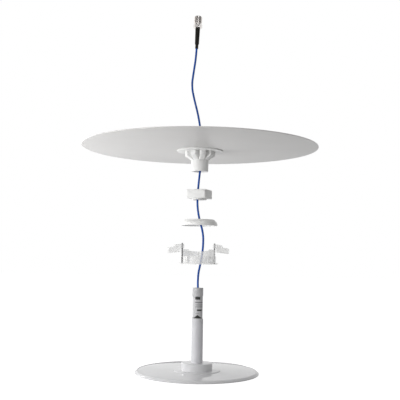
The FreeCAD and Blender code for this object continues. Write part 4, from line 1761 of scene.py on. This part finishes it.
@dataclass
class LockNut:
    """The square nut with its inner thread."""

    lift: float = 332.4
    turn: float = -20.0
    width: float = 40.0
    height: float = 17.0
    corner: float = 3.0
    chamfer: float = 1.2
    low_ease: float = 0.4
    boss_r: float = 14.2
    boss: float = 2.6
    boss_ease: float = 0.4
    boss_flat: float = 1.0
    boss_lap: float = 1.0
    bore: float = 11.7
    groove: float = 12.25
    pitch: float = 2.5
    tap_over: float = 2.0
    mouth: float = 12.8
    mouth_over: float = 0.5
    mouth_sides: int = 64

    @property
    def top(self) -> float:
        """Height of the nut on its boss."""
        return self.boss + self.height

    def build(self) -> None:
        """Makes the nut and cuts its thread."""
        nut = self.build_block()
        over = self.tap_over
        hole = threaded("tap", self.groove, self.bore, self.pitch, -over, self.top + over)
        combine(nut, hole, Cut.AWAY)
        lead_in = self.mouth - self.bore
        wide = self.mouth + self.mouth_over
        for low, low_r, high, high_r in (
            (-self.mouth_over, wide, lead_in, self.bore),
            (self.top - lead_in, self.bore, self.top + self.mouth_over, wide),
        ):
            mouth = turned("mouth", [Turn(low_r, low), Turn(high_r, high)], Ends.SOLID, self.mouth_sides)
            combine(nut, mouth, Cut.AWAY)
        seat(nut, self.lift, self.turn)
        hand_over(shade(nut), NUT_WHITE, "lock_nut", "lock_nut")

    def build_block(self) -> bpy.types.Object:
        """Makes the square block with a round boss under it.

        Returns:
            The block, not yet drilled.
        """
        middle = (self.boss + self.top) / 2
        bpy.ops.mesh.primitive_cube_add(size=1.0, location=(0.0, 0.0, middle * MM))
        nut = christen(bpy.context.object, "nut")
        nut.scale = (self.width * MM, self.width * MM, self.height * MM)
        settle(nut)
        with editing(nut):
            choose(nut, Part.EDGES, self.is_upright)
            bpy.ops.mesh.bevel(offset=self.corner * MM, segments=6, affect="EDGES")
            choose(nut, Part.EDGES, lambda edge: level(edge, self.top))
            bpy.ops.mesh.bevel(offset=self.chamfer * MM, segments=3, affect="EDGES")
            choose(nut, Part.EDGES, lambda edge: level(edge, self.boss))
            bpy.ops.mesh.bevel(offset=self.low_ease * MM, segments=2, affect="EDGES")
            mend()
        boss_top = self.boss + self.boss_lap
        boss = turned("nut_boss", [
            Turn(self.boss_r - self.boss_flat, 0.0),
            Turn(self.boss_r, 0.0, self.boss_ease),
            Turn(self.boss_r, boss_top),
            Turn(self.boss_r - self.boss_flat, boss_top),
        ], Ends.SOLID)
        return combine(nut, boss, Cut.ADD)

    @staticmethod
    def is_upright(edge: bmesh.types.BMEdge) -> bool:
        """Whether an edge of the block stands on end."""
        return abs(edge.verts[0].co.z - edge.verts[1].co.z) > LEVEL


@dataclass
class Reflector:
    """The large thin disc on its ribbed hub, with the screws that hold it."""

    lift: float = 388.0
    turn: float = -77.0
    bore: float = 11.7
    bore_ease: float = 0.5
    tube_r: float = 16.75
    tube_ease: float = 1.6
    fillet: float = 1.0
    height: float = 41.3
    flange_r: float = 45.0
    flange: float = 2.0
    flange_ease: float = 0.5
    spigot_r: float = 14.1
    spigot_gap: float = 0.15
    spigot_ease: float = 0.3
    hub_sides: int = 128
    rib_count: int = 9
    rib_half: float = 5.2
    rib_out: float = 29.55
    rib_low: float = 22.0
    rib_high: float = 31.0
    rib_ease: float = 1.3
    rib_angle: float = 20.0
    plate_r: float = 230.0
    plate: float = 1.5
    plate_seat_r: float = 47.0
    plate_rise: float = 4.4
    plate_ease: float = 0.4
    plate_bore_ease: float = 0.1
    plate_sides: int = 256
    screw_circle: float = 23.5
    screw_count: int = 3
    screw_sides: int = 32
    screw_head_r: float = 2.8
    screw_head: float = 1.8
    screw_head_ease: float = 0.9
    screw_head_flat: float = 1.6
    screw_under_ease: float = 0.2
    screw_shank: float = 1.5
    screw_length: float = 10.0
    screw_point: float = 0.6
    screw_point_in: float = 0.5
    recess: float = 0.9
    recess_width: float = 0.8
    recess_span: float = 3.0
    recess_over: float = 1.0

    def build(self) -> None:
        """Makes the hub, the disc and the screws."""
        self.build_hub()
        self.build_plate()
        self.build_screws()

    def build_hub(self) -> None:
        """Makes the hub: a tube, a thin flange and wedge ribs between them."""
        flange_low = self.height - self.flange
        spigot_top = self.height + self.plate
        core = turned("hub_core", [
            Turn(self.bore, 0.0, self.bore_ease),
            Turn(self.tube_r, 0.0, self.tube_ease),
            Turn(self.tube_r, flange_low, self.fillet),
            Turn(self.flange_r, flange_low, self.flange_ease),
            Turn(self.flange_r, self.height, self.spigot_ease),
            Turn(self.spigot_r, self.height),
            Turn(self.spigot_r, spigot_top, self.spigot_ease),
            Turn(self.bore, spigot_top, self.spigot_ease),
        ], Ends.HOLLOW, self.hub_sides)
        inside = (self.bore + self.tube_r) / 2
        high = self.height - self.flange / 2
        rib = drawn_out("rib", [
            Section(self.rib_out, self.rib_high, high, self.rib_half),
            Section(self.tube_r, self.rib_low, high, self.rib_half),
            Section(inside, self.rib_low, high, self.rib_half),
        ])
        soften(rib, self.rib_ease, 4, self.rib_angle)
        hub = fused("hub", [core, *copies_round(rib, self.rib_count)])
        seat(hub, self.lift, self.turn)
        hand_over(shade(hub), KIT_WHITE, "reflector", "reflector_hub")

    def build_plate(self) -> None:
        """Makes the thin disc, a shallow cone round the hub's seat."""
        inner = self.spigot_r + self.spigot_gap
        rim_top = self.plate_rise + self.plate
        plate = turned("plate", [
            Turn(inner, 0.0, self.plate_bore_ease),
            Turn(self.plate_seat_r, 0.0),
            Turn(self.plate_r, self.plate_rise, self.plate_ease),
            Turn(self.plate_r, rim_top, self.plate_ease),
            Turn(self.plate_seat_r, self.plate),
            Turn(inner, self.plate, self.plate_bore_ease),
        ], Ends.HOLLOW, self.plate_sides)
        seat(plate, self.lift + self.height, self.turn)
        hand_over(shade(plate), REFLECTOR_GREY, "reflector", "reflector_plate")

    def build_screws(self) -> None:
        """Makes the pan-head screws on top of the disc."""
        base = self.height + self.plate
        top = base + self.screw_head
        low = base - self.screw_length
        screw = turned("hub_screw", [
            Turn(self.screw_shank - self.screw_point_in, low),
            Turn(self.screw_shank, low + self.screw_point),
            Turn(self.screw_shank, base),
            Turn(self.screw_head_r, base, self.screw_under_ease),
            Turn(self.screw_head_r, top, self.screw_head_ease),
            Turn(self.screw_head_r - self.screw_head_flat, top),
        ], Ends.SOLID, self.screw_sides)
        span, width = self.recess_span, self.recess_width
        recess = cross("driver_recess", span, width, top - self.recess, top + self.recess_over)
        combine(screw, recess, Cut.AWAY)
        screw.location = (self.screw_circle * MM, 0.0, 0.0)
        settle(screw)
        group = joined("plate_screws", copies_round(screw, self.screw_count))
        seat(group, self.lift, self.turn)
        hand_over(shade(group), SCREW_STEEL, "reflector", "hub_screws")


# The studio


class Lamp(NamedTuple):
    """A soft lamp: watts, width in metres, where it hangs and what it points at.

    A lamp that isn't mirrored lights the pieces but doesn't show in their gloss. A tall one is so many
    times as high as it is wide.
    """

    name: str
    power: float
    size: float
    place: Triple
    target: Triple
    mirrored: bool = True
    tall: float = 1.0


@dataclass
class Studio:
    """The pale floor, the soft lamps, the white surround and the camera."""

    lens_px: float = 690.0
    sight: float = 100.0
    frame_px: float = 400.0
    sensor: float = 36.0
    pitch_up: float = 0.08047
    roll: float = 0.0156
    place: Triple = (0.0014, -1.345, 0.2239)
    surround: float = 0.44
    dim_front: float = 0.22
    dim_until: float = -0.10
    bright_from: float = 0.30
    floor_size: float = 12.0
    floor_colour: Colour = (0.45, 0.45, 0.45)
    floor_glow: float = 0.85
    lamps: tuple[Lamp, ...] = (
        Lamp("rim", 7.2, 0.6, (-1.10, 0.90, 0.60), (0.0, 0.0, 0.35)),
        Lamp("front_left", 8.7, 0.7, (-1.15, -1.25, 0.50), (0.0, 0.0, 0.35)),
        Lamp("top", 0.6, 1.4, (-0.30, 0.10, 1.90), (0.0, 0.0, 0.20)),
        Lamp("front_high", 1.4, 0.15, (0.22, -1.50, 1.20), (0.0, 0.0, 0.60), tall=4.0),
        Lamp("low_left", 2.2, 0.3, (-0.62, 0.0, 0.05), (-0.10, 0.0, 0.43), False),
        Lamp("low_front", 2.0, 0.3, (-0.62, -0.45, 0.06), (-0.05, 0.0, 0.43), False),
    )

    def build(self) -> None:
        """Sets up the whole studio."""
        bpy.context.scene.view_settings.view_transform = "Standard"
        self.build_camera()
        self.build_floor()
        self.build_world()
        for lamp in self.lamps:
            self.build_lamp(lamp)

    def build_camera(self) -> None:
        """Stands the camera where the photograph was taken from."""
        lens = bpy.data.cameras.new("camera")
        lens.sensor_width = self.sensor
        lens.lens = self.lens_px / self.frame_px * self.sensor
        lens.clip_end = self.sight
        camera = bpy.data.objects.new("camera", lens)
        bpy.context.scene.collection.objects.link(camera)
        tilt = Matrix.Rotation(math.pi / 2 + self.pitch_up, 4, "X")
        camera.matrix_world = Matrix.Translation(self.place) @ tilt @ Matrix.Rotation(self.roll, 4, "Z")
        bpy.context.scene.camera = camera

    def build_lamp(self, lamp: Lamp) -> None:
        """Hangs a soft lamp.

        Args:
            lamp: The lamp to hang.
        """
        light = bpy.data.lights.new(lamp.name, "AREA")
        light.energy = lamp.power
        light.shape = "RECTANGLE"
        light.size = lamp.size
        light.size_y = lamp.size * lamp.tall
        hung = bpy.data.objects.new(lamp.name, light)
        bpy.context.scene.collection.objects.link(hung)
        hung.visible_camera = False
        hung.visible_glossy = lamp.mirrored
        hung.location = lamp.place
        aim = Vector(lamp.target) - Vector(lamp.place)
        hung.rotation_euler = aim.to_track_quat("-Z", "Y").to_euler()

    @staticmethod
    def any_ray(tree: bpy.types.NodeTree, *kinds: str) -> bpy.types.NodeSocket:
        """Says whether a ray is of one of some kinds.

        Args:
            tree: The node tree to add to.
            kinds: Outputs of the Light Path node.

        Returns:
            1 for such a ray.
        """
        path = tree.nodes.new("ShaderNodeLightPath")
        total = path.outputs[kinds[0]]
        for kind in kinds[1:]:
            either = tree.nodes.new("ShaderNodeMath")
            either.operation = "MAXIMUM"
            tree.links.new(total, either.inputs[0])
            tree.links.new(path.outputs[kind], either.inputs[1])
            total = either.outputs["Value"]
        return total

    def build_floor(self) -> None:
        """Lays the pale floor, which keeps the antenna's shadow."""
        clear_selection()
        bpy.ops.mesh.primitive_plane_add(size=self.floor_size, location=(0.0, 0.0, 0.0))
        floor = christen(bpy.context.object, "floor")
        material = bpy.data.materials.new("floor_white")
        material.use_nodes = True
        tree = material.node_tree
        shader = tree.nodes["Principled BSDF"]
        shader.inputs["Base Color"].default_value = (*self.floor_colour, 1.0)
        shader.inputs["Roughness"].default_value = 1.0
        shader.inputs["Specular IOR Level"].default_value = 0.0
        shader.inputs["Emission Color"].default_value = (1.0, 1.0, 1.0, 1.0)
        glow = tree.nodes.new("ShaderNodeMath")
        glow.operation = "MULTIPLY"
        glow.inputs[1].default_value = self.floor_glow
        seen = self.any_ray(tree, "Is Camera Ray", "Is Glossy Ray", "Is Transmission Ray")
        tree.links.new(seen, glow.inputs[0])
        tree.links.new(glow.outputs["Value"], shader.inputs["Emission Strength"])
        floor.data.materials.append(material)

    def build_world(self) -> None:
        """Makes the surround: a white backdrop behind, a dim room in front, and softer as light."""
        world = bpy.data.worlds.new("surround")
        bpy.context.scene.world = world
        world.use_nodes = True
        tree = world.node_tree
        background = tree.nodes["Background"]
        background.inputs["Color"].default_value = (1.0, 1.0, 1.0, 1.0)
        split = tree.nodes.new("ShaderNodeSeparateXYZ")
        tree.links.new(tree.nodes.new("ShaderNodeTexCoord").outputs["Generated"], split.inputs["Vector"])
        room = tree.nodes.new("ShaderNodeMapRange")
        room.interpolation_type = "SMOOTHSTEP"
        room.inputs["From Min"].default_value = self.dim_until
        room.inputs["From Max"].default_value = self.bright_from
        room.inputs["To Min"].default_value = self.dim_front
        room.inputs["To Max"].default_value = 1.0
        tree.links.new(split.outputs["Y"], room.inputs["Value"])
        seen = self.any_ray(tree, "Is Camera Ray", "Is Transmission Ray")
        gloss = self.any_ray(tree, "Is Glossy Ray")
        strength = self.blended(tree, gloss, self.surround, room.outputs["Result"])
        strength = self.blended(tree, seen, strength, 1.0)
        tree.links.new(strength, background.inputs["Strength"])

    @staticmethod
    def blended(
        tree: bpy.types.NodeTree,
        share: bpy.types.NodeSocket,
        low: float | bpy.types.NodeSocket,
        high: float | bpy.types.NodeSocket,
    ) -> bpy.types.NodeSocket:
        """Mixes two numbers or outputs by a share.

        Args:
            tree: The node tree to add to.
            share: 0 for the first, 1 for the second.
            low: The first.
            high: The second.

        Returns:
            The mixed number.
        """
        mix = tree.nodes.new("ShaderNodeMapRange")
        tree.links.new(share, mix.inputs["Value"])
        for name, value in (("To Min", low), ("To Max", high)):
            if isinstance(value, bpy.types.NodeSocket):
                tree.links.new(value, mix.inputs[name])
            else:
                mix.inputs[name].default_value = value
        return mix.outputs["Result"]


def main() -> None:
    """Builds the antenna, its mounting kit and the studio."""
    logging.basicConfig(level=logging.INFO, format="%(message)s")
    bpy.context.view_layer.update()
    for assembly in (Studio(), Radome(), Stem(), Lead(), ClampRing(), BezelWasher(), LockNut(), Reflector()):
        log.info("building %s", type(assembly).__name__)
        assembly.build()
    clear_selection()


if __name__ == "__main__":
    main()
